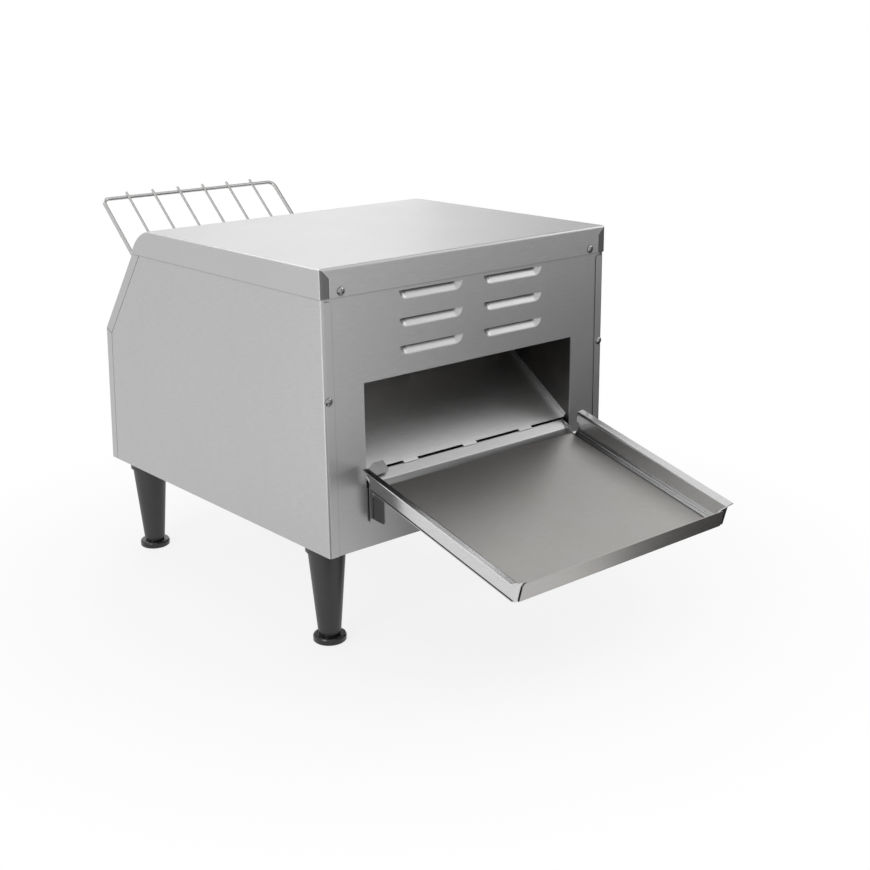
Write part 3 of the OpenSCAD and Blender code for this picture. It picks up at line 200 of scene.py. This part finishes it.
class Nodes:
    """A shader tree, and the one way to add a node to it."""

    def __init__(self, tree):
        self.tree = tree

    def add(self, kind, settings=None, inputs=None, output=0):
        """Adds a node: its settings first, then the values or links of its sockets."""
        node = self.tree.nodes.new(kind)
        for key, value in (settings or {}).items():
            if key == "stops":
                self.set_stops(node.color_ramp.elements, value)
            else:
                setattr(node, key, value)
        for key, value in (inputs or {}).items():
            if isinstance(value, Wire):
                self.tree.links.new(value.socket, node.inputs[key])
            else:
                node.inputs[key].default_value = value
        return Wire(self, node.outputs[output])

    @staticmethod
    def set_stops(elements, stops):
        while len(elements) < len(stops):
            elements.new(1)
        for element, (place, value) in zip(elements, stops):
            element.position = place
            element.color = (value, value, value, 1)

    def seen(self):
        """1 for what the camera sees, straight, in metal or through glass."""
        kinds = ("Is Camera Ray", "Is Glossy Ray", "Is Transmission Ray")
        camera, glossy, through = (self.add("ShaderNodeLightPath", output=kind) for kind in kinds)
        return camera + glossy + through

    def show(self, shader, output):
        """Links a shader to the tree's output node."""
        self.tree.links.new(shader.socket, self.tree.nodes[output].inputs["Surface"])


class Finish(Nodes):
    """One material: its Principled surface and the nodes that vary it."""

    def __init__(self, name, **constants):
        self.material = bpy.data.materials.new(name)
        self.material.use_nodes = True
        super().__init__(self.material.node_tree)
        self.surface = self.tree.nodes["Principled BSDF"]
        for label, value in constants.items():
            self.surface.inputs[label.replace("_", " ")].default_value = value

    def drive(self, label, wire):
        """Links a value that changes over the surface to one of the surface's sockets."""
        self.tree.links.new(wire.socket, self.surface.inputs[label])

    def place(self, scale=(1, 1, 1)):
        """The point being shaded, in the object's own metres, scaled along each axis."""
        point = self.add("ShaderNodeTexCoord", output="Object")
        return self.add("ShaderNodeMapping", {}, {"Vector": point, "Scale": scale})

    def noise(self, scale, detail=3.0, roughness=0.55, stretch=(1, 1, 1)):
        """Noise from 0 to 1 with features 1 / scale metres across."""
        sockets = {"Vector": self.place(stretch), "Scale": scale, "Detail": detail, "Roughness": roughness}
        return self.add("ShaderNodeTexNoise", {}, sockets)

    def mix(self, mask, first, second):
        """Two colours mixed by a mask."""
        sides = [c if isinstance(c, Wire) else (*c, 1) for c in (first, second)]
        return self.add(
            "ShaderNodeMix", {"data_type": "RGBA"}, {"Factor": mask, 6: sides[0], 7: sides[1]}, output=2
        )

    def ramp(self, wire, *stops):
        return self.add("ShaderNodeValToRGB", {"stops": stops}, {"Fac": wire})

    def bump(self, height, distance):
        """Relief from a height of 0 to 1, distance metres high."""
        self.drive("Normal", self.add("ShaderNodeBump", {}, {"Height": height, "Distance": distance}))

    def axes(self):
        """The X, Y and Z of the point being shaded, in the object's own metres."""
        point = self.place()
        return [self.add("ShaderNodeSeparateXYZ", {}, {"Vector": point}, output=axis) for axis in range(3)]

    def seams(self, reach=0.0025):
        """Mask of the shade painted in gaps and inner corners: 1 there, 0 in the open."""
        open_part = self.add("ShaderNodeAmbientOcclusion", {"samples": 6}, {"Distance": reach}, output="AO")
        return self.ramp(open_part, (0.40, 1), (0.96, 0))

    def edge_wear(self, radius=0.0012):
        """1 on outer edges and 0 on flat faces."""
        smooth = self.add("ShaderNodeBevel", {"samples": 4}, {"Radius": radius})
        true = self.add("ShaderNodeNewGeometry", output="Normal")
        match = self.add(
            "ShaderNodeVectorMath", {"operation": "DOT_PRODUCT"}, {0: smooth, 1: true}, output="Value"
        )
        return self.ramp(1 - match, (0.02, 0), (0.2, 1))


def times(tone, amount):
    """A colour made darker, or lighter by an amount over 1."""
    return tuple(part * amount for part in tone)


def brushed(name, tone, steel, axis, wear_highlight_and_seam_shade=0.0, tint=0.0, polish=0.0, painted_shade=None):
    """Stainless sheet with brushing lines along an axis and soft blotches.

    Its edges are brightened, partly rubbed bright and partly a painted highlight on the bends, and its gaps
    and inner corners get painted shade; tint is the share of straw colour that heat has left, polish makes it
    smoother, and the last argument is a function that gives the mask of places painted darker as shade.
    """
    finish = Finish(name, Metallic=1.0)
    across = 1 / steel.grain
    along = 1 / steel.grain_run
    stretch = tuple(along if part else across for part in axis)
    lines = finish.noise(1.0, 2.0, 0.6, stretch)
    speckle = finish.noise(1.6 / steel.grain, 1.0, 0.5)
    blotch = finish.noise(9.0, 3.0, 0.6)
    grain = lines * 0.65 + speckle * 0.35
    shade = finish.mix(finish.ramp(grain, (0.32, 0), (0.68, 1)), times(tone, 0.90), times(tone, 1.07))
    shade = finish.mix(finish.ramp(blotch, (0.35, 0), (0.7, 0.10)), shade, times(tone, 0.86))
    if tint:
        warm = finish.ramp(finish.noise(14.0, 4.0, 0.6), (0.45, 0), (0.75, tint))
        shade = finish.mix(warm, shade, tuple(steel.tint))
    if wear_highlight_and_seam_shade:
        # edges painted brighter, partly rubbed bright and partly a painted highlight on the bends
        shade = finish.mix(finish.edge_wear() * wear_highlight_and_seam_shade, shade, times(tone, 1.25))
        # painted shade in gaps and inner corners
        shade = finish.mix(finish.seams() * steel.seams, shade, times(tone, 0.12))
    # places painted darker as shade: the cover's corner tabs and the chute's top and drive side
    if painted_shade:
        shade = finish.mix(painted_shade(finish), shade, times(tone, 0.34))
    finish.drive("Base Color", shade)
    finish.drive("Roughness", grain * 0.12 + blotch * 0.08 + (steel.roughness - 0.10 - polish))
    finish.bump(grain, 0.000012)
    return finish.material


def corner_tabs(finish):
    """1 on the tabs that fold from the cover's side flanges round the front corners, which are painted darker
    as shade.
    """
    low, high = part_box("top_cover")
    tab_width = 0.0095
    tab_depth = 0.0012
    x, y, z = finish.axes()
    outer = abs(x).above(high.x - tab_width)
    under_mitre = (abs(x) - z).above(high.x - high.z)
    front = (low.y + tab_depth - y).above(0)
    return outer * under_mitre * front


def smoked(finish):
    """Painted shade on the chute, darkest at its top and toward the drive side."""
    low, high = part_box("discharge_chute")
    x, _, z = finish.axes()
    up = (z - low.z) * (1 / (high.z - low.z))
    across = (x - low.x) * (1 / (high.x - low.x))
    return finish.ramp(up * 0.55 + across * 0.55, (0.25, 0), (1.0, 0.9))


def turned(name, tone, roughness, groove=900.0):
    """Bar steel turned on a lathe: fine rings along X."""
    finish = Finish(name, Metallic=1.0)
    rings = finish.noise(1.0, 2.0, 0.5, (groove, 20, 20))
    grime = finish.noise(160.0, 4.0, 0.6)
    shade = finish.mix(finish.ramp(rings, (0.3, 0), (0.7, 1)), times(tone, 0.82), times(tone, 1.08))
    finish.drive("Base Color", finish.mix(finish.ramp(grime, (0.5, 0), (0.8, 0.5)), shade, times(tone, 0.45)))
    finish.drive("Roughness", rings * 0.14 + grime * 0.1 + (roughness - 0.1))
    finish.bump(rings, 0.00002)
    return finish.material


def drawn_wire(name, tone, roughness, tint=None):
    """Polished wire with faint drawing marks, and heat tint where it runs past the tubes."""
    finish = Finish(name, Metallic=1.0)
    marks = finish.noise(420.0, 3.0, 0.6)
    shade = finish.mix(finish.ramp(marks, (0.35, 0), (0.7, 1)), times(tone, 0.86), times(tone, 1.06))
    if tint:
        shade = finish.mix(finish.ramp(finish.noise(24.0), (0.35, 0.15), (0.7, 0.75)), shade, tuple(tint))
    finish.drive("Base Color", shade)
    finish.drive("Roughness", marks * 0.12 + (roughness - 0.05))
    finish.bump(marks, 0.00001)
    return finish.material


def moulded(name, tone, roughness, texture=0.00003, scale=1400.0, coat=0.0):
    """Moulded plastic: fine spark texture, slight colour drift and rubbed edges."""
    finish = Finish(name, Coat_Weight=coat, Coat_Roughness=0.08)
    spark = finish.noise(scale, 2.0, 0.6)
    drift = finish.noise(22.0, 3.0, 0.55)
    shade = finish.mix(finish.ramp(drift, (0.3, 0), (0.75, 1)), times(tone, 0.85), times(tone, 1.18))
    shade = finish.mix(finish.edge_wear() * 0.35, shade, tuple(min(1, part * 1.7 + 0.02) for part in tone))
    finish.drive("Base Color", shade)
    finish.drive("Roughness", spark * 0.14 + drift * 0.08 + (roughness - 0.11))
    finish.bump(spark, texture)
    return finish.material


def glazed(name, tone):
    """Unglazed ceramic: chalky and pitted."""
    finish = Finish(name)
    pits = finish.noise(900.0, 3.0, 0.6)
    soot = finish.ramp(finish.noise(90.0, 4.0, 0.65), (0.5, 0), (0.8, 0.4))
    finish.drive("Base Color", finish.mix(soot, tone, times(tone, 0.55)))
    finish.drive("Roughness", pits * 0.15 + 0.7)
    finish.bump(pits, 0.00006)
    return finish.material


def quartz_glass(name, tone):
    """Clear drawn quartz with faint cords along the tube."""
    finish = Finish(name, Transmission_Weight=1.0, IOR=1.458)
    cords = finish.noise(1.0, 2.0, 0.5, (6, 700, 700))
    finish.drive("Base Color", finish.mix(finish.ramp(cords, (0.3, 0), (0.7, 1)), times(tone, 0.94), tone))
    finish.drive("Roughness", cords * 0.04 + 0.02)
    finish.bump(cords, 0.00001)
    return finish.material


def lamp_lens(name, tone):
    """A small faceted lens with a faint glow."""
    finish = Finish(name, Coat_Weight=0.6, Coat_Roughness=0.05, Emission_Strength=0.25)
    cells = finish.add(
        "ShaderNodeTexVoronoi", {}, {"Vector": finish.place(), "Scale": 1100.0}, output="Distance"
    )
    shade = finish.mix(finish.ramp(cells, (0.0, 1), (0.8, 0)), times(tone, 0.55), tone)
    finish.drive("Base Color", shade)
    finish.drive("Emission Color", shade)
    finish.drive("Roughness", cells * 0.2 + 0.12)
    finish.bump(cells, 0.00008)
    return finish.material


def printed_ink(name, tone):
    """Screen-printed ink."""
    finish = Finish(name)
    mottle = finish.noise(700.0, 3.0, 0.6)
    finish.drive("Base Color", finish.mix(mottle, times(tone, 0.7), tuple(part + 0.02 for part in tone)))
    finish.drive("Roughness", mottle * 0.2 + 0.4)
    return finish.material


def circuit_board(name, tone):
    """Lacquered board with fine copper tracks."""
    finish = Finish(name, Coat_Weight=0.4, Coat_Roughness=0.15)
    cells = finish.add(
        "ShaderNodeTexVoronoi", {"feature": "DISTANCE_TO_EDGE"}, {"Vector": finish.place(), "Scale": 240.0},
        output="Distance",
    )
    tracks = finish.ramp(cells, (0.05, 1), (0.08, 0))
    finish.drive("Base Color", finish.mix(tracks, tone, (0.20, 0.34, 0.12)))
    finish.drive("Roughness", tracks * 0.1 + 0.35)
    return finish.material


def dress(material, *nodes):
    """Gives CAD nodes their finish."""
    for node in nodes:
        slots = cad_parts[node].data.materials
        slots.clear()
        slots.append(material)


# ---- Meshes ----


def make_piece(name, mesh, material, body):
    """A finished piece that moves with a CAD body."""
    piece = bpy.data.objects.new(name, mesh)
    bpy.context.scene.collection.objects.link(piece)
    mesh.materials.append(material)
    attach(piece, body)
    return piece


def mesh_from(bm, name, smooth=False):
    mesh = bpy.data.meshes.new(name)
    bm.to_mesh(mesh)
    bm.free()
    for face in mesh.polygons:
        face.use_smooth = smooth
    return mesh


def swept_wire(points, radius, sides, name):
    """A round wire along a line of points."""
    bm = bmesh.new()
    rings = []
    for i, point in enumerate(points):
        ahead = points[min(i + 1, len(points) - 1)]
        behind = points[max(i - 1, 0)]
        turn = (ahead - behind).to_track_quat("Z", "Y").to_matrix()
        rings.append([
            bm.verts.new(point + turn @ (radius * Vector((math.cos(a), math.sin(a), 0))))
            for a in (math.tau * k / sides for k in range(sides))
        ])
    for low, high in zip(rings, rings[1:]):
        for k in range(sides):
            bm.faces.new((low[k], low[(k + 1) % sides], high[(k + 1) % sides], high[k]))
    bm.faces.new(reversed(rings[0]))
    bm.faces.new(rings[-1])
    return mesh_from(bm, name, smooth=True)


def islands(node):
    """(lowest, highest) corners of each separate solid in a CAD node."""
    bm = bmesh.new()
    bm.from_mesh(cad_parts[node].data)
    bmesh.ops.remove_doubles(bm, verts=bm.verts, dist=1e-6)
    found = []
    left = set(bm.verts)
    while left:
        stack = [left.pop()]
        group = []
        while stack:
            vert = stack.pop()
            group.append(vert.co.copy())
            for edge in vert.link_edges:
                other = edge.other_vert(vert)
                if other in left:
                    left.discard(other)
                    stack.append(other)
        low = Vector(min(co[k] for co in group) for k in range(3))
        high = Vector(max(co[k] for co in group) for k in range(3))
        found.append((low, high))
    bm.free()
    return found


def points_of(node):
    return [vertex.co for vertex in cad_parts[node].data.vertices]


def control_face():
    """The foot of the leaning control panel, the way up its face and the way out of it."""
    points = points_of("control_panel")
    foot = max(points, key=lambda point: point.y)
    top = max(points, key=lambda point: point.z)
    up = Vector((0, top.y - foot.y, top.z - foot.z)).normalized()
    return Vector((0, foot.y, foot.z)), up, Vector((0, up.z, -up.y))


# Thickness of the ink on the control panel, and width of a dial mark
DIAL_INK = 0.0001
MARK_WIDTH = 0.0007


def dial_text(words, size, seat, name):
    """A flat figure, laid on a face by the matrix of its seat."""
    curve = bpy.data.curves.new(name, "FONT")
    curve.body = words
    curve.size = size
    curve.align_x = "CENTER"
    curve.align_y = "CENTER"
    curve.extrude = DIAL_INK * 0.4
    flat = bpy.data.objects.new(name + "_outline", curve)
    bpy.context.scene.collection.objects.link(flat)
    bpy.context.view_layer.update()
    mesh = bpy.data.meshes.new_from_object(flat.evaluated_get(bpy.context.evaluated_depsgraph_get()))
    bpy.data.objects.remove(flat)
    mesh.transform(seat)
    mesh.materials.clear()
    return mesh


# ---- Operators ----


class ToasterOperator:
    """What every operator here shares: its settings and its reply."""

    bl_options = {"REGISTER", "UNDO"}

    def execute(self, context):
        self.build(context.scene)
        return {"FINISHED"}


class TOASTER_OT_casing(ToasterOperator, bpy.types.Operator):
    """Brushes the cover, the outer panels and the base plate"""

    bl_idname = "toaster.casing"
    bl_label = "Casing"

    def build(self, scene):
        steel = scene.toaster_steel
        # the cover's corner tabs are painted darker as shade
        cover = brushed("cover_brushed", steel.cover, steel, ALONG_X, wear_highlight_and_seam_shade=0.5, painted_shade=corner_tabs)
        dress(cover, "top_cover")
        sides = brushed("sides_brushed", steel.panels, steel, ALONG_Y, wear_highlight_and_seam_shade=0.4)
        dress(sides, "left_side_panel", "right_side_panel")
        faces = brushed("faces_brushed", steel.panels, steel, ALONG_X, wear_highlight_and_seam_shade=0.4)
        dress(faces, "discharge_panel", "feed_panel", "control_panel", "base_plate")
        dress(brushed("lip_sheet", steel.panels, steel, ALONG_X), "discharge_lip")
        dress(turned("screw_steel", steel.screws, 0.25, 300.0), "cover_screws", "leg_bolts")


class TOASTER_OT_tunnel(ToasterOperator, bpy.types.Operator):
    """Finishes the sheets inside the toasting tunnel"""

    bl_idname = "toaster.tunnel"
    bl_label = "Tunnel"

    def build(self, scene):
        steel = scene.toaster_steel
        inside = brushed("tunnel_sheet", steel.inside, steel, ALONG_Y, tint=0.25)
        dress(inside, "left_inner_wall", "right_inner_wall", "crumb_tray_runners", "feed_guide")
        # painted shade on the chute, darkest at its top and toward the drive side
        chute = brushed("chute_sheet", steel.chute, steel, ALONG_X, tint=0.03, painted_shade=smoked)
        dress(chute, "discharge_chute")
        reflectors = brushed("reflector_sheet", steel.cover, steel, ALONG_X, tint=0.35)
        dress(reflectors, "upper_reflector", "lower_reflector")


class TOASTER_OT_heaters(ToasterOperator, bpy.types.Operator):
    """Clears the quartz tubes and winds the heating coils inside them"""

    bl_idname = "toaster.heaters"
    bl_label = "Heaters"

    def build(self, scene):
        mouldings = scene.toaster_mouldings
        details = scene.toaster_details
        dress(quartz_glass("quartz", mouldings.quartz), "upper_quartz_tubes", "lower_quartz_tubes")
        dress(glazed("ceramic", mouldings.ceramic), "tube_end_caps")
        metal = drawn_wire("heating_wire", scene.toaster_steel.coil, 0.5, (0.10, 0.07, 0.05))
        dress(metal, "heating_coils")
        coils = sorted(islands("heating_coils"), key=lambda pair: (pair[0].z, pair[0].y))
        for number, (low, high) in enumerate(coils, 1):
            mesh = self.coil(low, high, details)
            piece = make_piece(f"heating_coil_{number}", mesh, metal, "casing")
            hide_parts("heating_coils")

    @staticmethod
    def coil(low, high, details):
        """A helix as long as the solid that it stands for, with straight ends on its axis."""
        middle = (low + high) / 2
        radius = (high.y - low.y) / 2 - details.coil_wire
        tail = 0.022
        step_out = 0.002
        start, end = low.x + tail, high.x - tail
        steps = details.coil_turns * 10

        def on_axis(x):
            return Vector((x, middle.y, middle.z))

        points = [on_axis(low.x), on_axis(start - step_out)]
        for i in range(steps + 1):
            turn = math.tau * details.coil_turns * i / steps
            offset = Vector((0, math.cos(turn), math.sin(turn))) * radius
            points.append(on_axis(start + (end - start) * i / steps) + offset)
        points += [on_axis(end + step_out), on_axis(high.x)]
        return swept_wire(points, details.coil_wire / 2, 5, "heating_coil")


class TOASTER_OT_conveyor(ToasterOperator, bpy.types.Operator):
    """Finishes the belt, its rollers, the chain and the motor"""

    bl_idname = "toaster.conveyor"
    bl_label = "Conveyor"

    def build(self, scene):
        steel = scene.toaster_steel
        dress(drawn_wire("belt_wire", steel.wire, 0.3, (0.30, 0.24, 0.18)), "wire_belt")
        dress(turned("turned_steel", steel.turned, 0.3), "drive_shaft", "idler_shaft", "motor_output_shaft")
        sprockets = turned("sprocket_steel", times(steel.turned, 0.8), 0.38, 500.0)
        dress(sprockets, "drive_sprockets", "idler_sprockets")
        oiled = turned("oiled_steel", steel.dark, 0.3, 260.0)
        dress(oiled, "drive_chain", "drive_chain_sprocket", "motor_chain_sprocket")
        dress(turned("sintered_bronze", steel.bronze, 0.45, 700.0), "shaft_bushes")
        dress(moulded("motor_paint", scene.toaster_mouldings.motor, 0.42, 0.00002, 700.0), "gear_motor")


class TOASTER_OT_electrics(ToasterOperator, bpy.types.Operator):
    """Finishes the fan, the terminals, the switches and the lamps"""

    bl_idname = "toaster.electrics"
    bl_label = "Electrics"

    def build(self, scene):
        mouldings = scene.toaster_mouldings
        dress(moulded("fan_plastic", mouldings.knob, 0.5), "fan_frame", "fan_rotor")
        dress(moulded("gland_plastic", mouldings.leg, 0.45), "cable_gland")
        dress(moulded("white_plastic", mouldings.white, 0.45), "terminal_block", "selector_switch")
        dress(circuit_board("board", mouldings.board), "speed_regulator")
        dress(lamp_lens("lamp_lens", mouldings.lens), "indicator_lamps")


class TOASTER_OT_stand(ToasterOperator, bpy.types.Operator):
    """Finishes the four legs and their screw feet"""

    bl_idname = "toaster.stand"
    bl_label = "Stand"

    def build(self, scene):
        mouldings = scene.toaster_mouldings
        corners = ("front_left", "front_right", "rear_left", "rear_right")
        dress(moulded("leg_plastic", mouldings.leg, 0.42), *(corner + "_leg" for corner in corners))
        dress(
            moulded("foot_plastic", mouldings.foot, 0.26, 0.00001, coat=0.06),
            *(corner + "_foot" for corner in corners),
        )


class TOASTER_OT_trays(ToasterOperator, bpy.types.Operator):
    """Finishes the collecting tray, its rails and hooks, and the crumb tray"""

    bl_idname = "toaster.trays"
    bl_label = "Trays"

    def build(self, scene):
        steel = scene.toaster_steel
        dress(brushed("tray_floor", steel.tray, steel, ALONG_X, wear_highlight_and_seam_shade=0.4, tint=0.12), "collecting_tray")
        dress(brushed("tray_rails", steel.rails, steel, ALONG_Y, wear_highlight_and_seam_shade=0.4, polish=0.20), "tray_side_rails")
        # the hook plates are darker than the rails as painted shade
        dress(brushed("hook_sheet", steel.hooks, steel, ALONG_Z, wear_highlight_and_seam_shade=0.4, polish=0.10), "tray_hook_plates")
        dress(brushed("crumb_tray_sheet", steel.panels, steel, ALONG_X, wear_highlight_and_seam_shade=0.4), "crumb_tray")


class TOASTER_OT_rack(ToasterOperator, bpy.types.Operator):
    """Polishes the wire loading rack"""

    bl_idname = "toaster.rack"
    bl_label = "Loading rack"

    def build(self, scene):
        dress(drawn_wire("rack_wire", scene.toaster_steel.rack, 0.24), "loading_rack")


class TOASTER_OT_controls(ToasterOperator, bpy.types.Operator):
    """Finishes the knobs and prints their scales on the control panel"""

    bl_idname = "toaster.controls"
    bl_label = "Controls"

    def build(self, scene):
        mouldings = scene.toaster_mouldings
        details = scene.toaster_details
        dress(moulded("knob_plastic", mouldings.knob, 0.36, coat=0.15), "speed_knob", "selector_knob")
        ink = printed_ink("scale_ink", mouldings.figures)
        self.scale("speed", "speed_knob", [str(n) for n in range(10)], 270, details, ink)
        self.scale("selector", "selector_knob", ["0", "1", "2", "3"], 135, details, ink)

    def scale(self, name, knob, figures, sweep, details, ink):
        """Marks and figures round a knob, clockwise from its pointer as seen from the feed side."""
        foot, up, out = control_face()
        along = [(point - foot).dot(up) for point in points_of(knob)]
        low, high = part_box(knob)
        middle = foot + Vector(((low.x + high.x) / 2, 0, 0)) + up * (min(along) + max(along)) / 2
        right = Vector((-1, 0, 0))
        turned_in = Matrix((right, up, out)).transposed().to_4x4()
        bm = bmesh.new()
        for number, figure in enumerate(figures):
            turn = math.radians(sweep) * number / (len(figures) - 1)
            ray = right * math.sin(turn) + up * math.cos(turn)
            beside = (right * math.cos(turn) - up * math.sin(turn)) * (MARK_WIDTH / 2)
            near = middle + ray * details.scale_radius
            far = near + ray * details.mark_length
            self.mark(bm, (near - beside, near + beside, far + beside, far - beside), out * DIAL_INK)
            spot = middle + ray * (details.scale_radius + details.mark_length + details.figure_size * 0.75)
            seat = Matrix.Translation(spot + out * (DIAL_INK / 2)) @ turned_in
            mesh = dial_text(figure, details.figure_size, seat, f"{name}_figure_{figure}")
            make_piece(f"{name}_figure_{figure}", mesh, ink, "casing")
        make_piece(f"{name}_marks", mesh_from(bm, f"{name}_marks"), ink, "casing")

    @staticmethod
    def mark(bm, corners, lift):
        """A printed bar, as thick as its lift."""
        base = [bm.verts.new(corner) for corner in corners]
        top = [bm.verts.new(corner + lift) for corner in corners]
        bm.faces.new(top)
        bm.faces.new(reversed(base))
        for k in range(4):
            bm.faces.new((base[k], base[(k + 1) % 4], top[(k + 1) % 4], top[k]))


FLOOR_RADIUS = 14
# Lamps: place, the point each is turned to, and diameter
LAMPS = {
    "key": ((1.6, 1.9, 1.6), (0.1, 0.3, 0.3), 1.8),
    "front": ((1.7, -0.8, 1.4), (0, 0.03, 0.18), 0.7),
    "side": ((-2.0, -0.6, 1.0), (0, 0.1, 0.2), 1.0),
}
# Dark cards that the steel reflects: two on the floor before it, one standing at its right and one above
FLAGS = {
    "front_flag": (
        (-0.10, -0.17, 0.003), (1.50, -2.20, 0.003), (2.40, -2.20, 0.003), (2.40, -0.10, 0.003),
        (0.30, -0.10, 0.003),
    ),
    "left_flag": ((-0.80, -0.90, 0.002), (-0.20, -0.90, 0.002), (-0.20, -0.24, 0.002), (-0.80, -0.24, 0.002)),
    "right_card": ((0.95, -0.60, 0.0), (0.95, 1.05, 0.0), (0.95, 1.05, 0.60), (0.95, -0.60, 0.60)),
    "high_card": ((0.55, 0.25, 1.10), (1.05, 0.25, 0.90), (1.05, 0.75, 0.90), (0.55, 0.75, 1.10)),
}
# Bright cards that only the bends catch: the cover's from behind and above, the side panel's from the left
BEND_CARDS = {
    "cover_card": ((-1.60, 1.20, 1.40), (0.0, 1.60, 1.40), (0.0, 1.30, 2.00), (-1.60, 0.90, 2.00)),
    "panel_card": ((-1.50, -0.10, 0.002), (-0.75, -0.10, 0.002), (-0.75, 0.30, 0.002), (-1.50, 0.30, 0.002)),
}


class TOASTER_OT_stage(ToasterOperator, bpy.types.Operator):
    """Lays the floor and hangs the studio lamps"""

    bl_idname = "toaster.stage"
    bl_label = "Stage"

    def build(self, scene):
        settings = scene.toaster_stage
        scene.view_settings.view_transform = "Standard"
        self.floor(settings)
        self.world(scene, settings)
        for name, (place, target, size) in LAMPS.items():
            self.lamp(f"{name}_lamp", place, target, size, getattr(settings, name))
        for name, corners in FLAGS.items():
            self.card(name, corners, settings.flag)
        for name, corners in BEND_CARDS.items():
            self.card(name, corners, settings.flag, settings.glow)

    @staticmethod
    def floor(settings):
        """Pale paper that shows white from far off and keeps the shadow near the toaster."""
        bm = bmesh.new()
        bmesh.ops.create_circle(bm, cap_ends=True, segments=96, radius=FLOOR_RADIUS)
        floor = bpy.data.objects.new("floor", mesh_from(bm, "floor"))
        bpy.context.scene.collection.objects.link(floor)
        finish = Finish("floor_paper", Roughness=0.9)
        finish.surface.inputs["Base Color"].default_value = (*settings.floor, 1)
        white = finish.add("ShaderNodeEmission", {}, {"Color": WHITE, "Strength": settings.backdrop})
        away = finish.add(
            "ShaderNodeVectorMath", {"operation": "LENGTH"}, {0: finish.place()}, output="Value"
        )
        white_from, all_white = 0.27, 0.60
        share_of_white = finish.ramp(away, (white_from, settings.lift), (all_white, 1.0))
        paper = Wire(finish, finish.surface.outputs[0])
        factor = finish.seen() * share_of_white
        finish.show(finish.add("ShaderNodeMixShader", {}, {0: factor, 1: paper, 2: white}), "Material Output")
        floor.data.materials.append(finish.material)

    @staticmethod
    def card(name, corners, tone, glow=0.0):
        """A card that only reflections show."""
        bm = bmesh.new()
        bm.faces.new([bm.verts.new(corner) for corner in corners])
        card = bpy.data.objects.new(name, mesh_from(bm, name))
        bpy.context.scene.collection.objects.link(card)
        card.visible_camera = card.visible_diffuse = card.visible_transmission = card.visible_shadow = False
        finish = Finish(name, Roughness=1.0)
        finish.surface.inputs["Base Color"].default_value = (*tone, 1)
        finish.surface.inputs["Emission Color"].default_value = WHITE
        finish.surface.inputs["Emission Strength"].default_value = glow
        card.data.materials.append(finish.material)

    @staticmethod
    def world(scene, settings):
        """Even light from all round, and a white backdrop wherever it is seen."""
        world = bpy.data.worlds.new("studio")
        world.use_nodes = True
        scene.world = world
        sky = Nodes(world.node_tree)
        around = sky.tree.nodes["Background"]
        around.inputs["Color"].default_value = WHITE
        around.inputs["Strength"].default_value = settings.ambient
        backdrop = sky.add("ShaderNodeBackground", {}, {"Color": WHITE, "Strength": settings.backdrop})
        shaders = {0: sky.seen(), 1: Wire(sky, around.outputs[0]), 2: backdrop}
        sky.show(sky.add("ShaderNodeMixShader", {}, shaders), "World Output")

    @staticmethod
    def lamp(name, place, target, size, power):
        light = bpy.data.lights.new(name, "AREA")
        light.shape = "DISK"
        light.size = size
        light.energy = power
        lamp = bpy.data.objects.new(name, light)
        lamp.location = place
        lamp.rotation_euler = (Vector(target) - Vector(place)).to_track_quat("-Z", "Y").to_euler()
        bpy.context.scene.collection.objects.link(lamp)


class TOASTER_OT_camera(ToasterOperator, bpy.types.Operator):
    """Sets up the camera in front of the discharge side"""

    bl_idname = "toaster.camera"
    bl_label = "Camera"

    def build(self, scene):
        settings = scene.toaster_stage
        lens = bpy.data.cameras.new("camera")
        lens.sensor_width = 36
        lens.lens = settings.focal
        camera = bpy.data.objects.new("camera", lens)
        scene.collection.objects.link(camera)
        camera.location = ORIGIN + Vector(settings.eye)
        level = math.cos(settings.pitch)
        look = Vector((
            math.sin(settings.heading) * level, math.cos(settings.heading) * level, -math.sin(settings.pitch)
        ))
        camera.rotation_euler = (
            look.to_track_quat("-Z", "Y").to_matrix() @ Matrix.Rotation(-settings.roll, 3, "Z")
        ).to_euler()
        scene.camera = camera


OPERATORS = (
    TOASTER_OT_camera,
    TOASTER_OT_casing,
    TOASTER_OT_tunnel,
    TOASTER_OT_heaters,
    TOASTER_OT_conveyor,
    TOASTER_OT_electrics,
    TOASTER_OT_stand,
    TOASTER_OT_trays,
    TOASTER_OT_rack,
    TOASTER_OT_controls,
    TOASTER_OT_stage,
)


class TOASTER_PT_sidebar(bpy.types.Panel):
    """Lists the toaster's pieces and settings"""

    bl_idname = "TOASTER_PT_sidebar"
    bl_label = "Conveyor toaster"
    bl_space_type = "VIEW_3D"
    bl_region_type = "UI"
    bl_category = "Toaster"

    def draw(self, context):
        for operator in OPERATORS:
            self.layout.operator(operator.bl_idname)
        for name, group in GROUPS.items():
            box = self.layout.box()
            settings = getattr(context.scene, name)
            for key in group.__annotations__:
                box.prop(settings, key)


GROUPS = {
    "toaster_steel": ToasterSteel,
    "toaster_mouldings": ToasterMouldings,
    "toaster_details": ToasterDetails,
    "toaster_stage": ToasterStage,
}


def register():
    for group in GROUPS.values():
        bpy.utils.register_class(group)
    for operator in OPERATORS:
        bpy.utils.register_class(operator)
    bpy.utils.register_class(TOASTER_PT_sidebar)
    for name, group in GROUPS.items():
        setattr(bpy.types.Scene, name, PointerProperty(type=group))


def unregister():
    for name in GROUPS:
        delattr(bpy.types.Scene, name)
    bpy.utils.unregister_class(TOASTER_PT_sidebar)
    for operator in reversed(OPERATORS):
        bpy.utils.unregister_class(operator)
    for group in reversed(tuple(GROUPS.values())):
        bpy.utils.unregister_class(group)


def main():
    register()
    for operator in OPERATORS:
        group, name = operator.bl_idname.split(".")
        getattr(getattr(bpy.ops, group), name)()


if __name__ == "__main__":
    main()
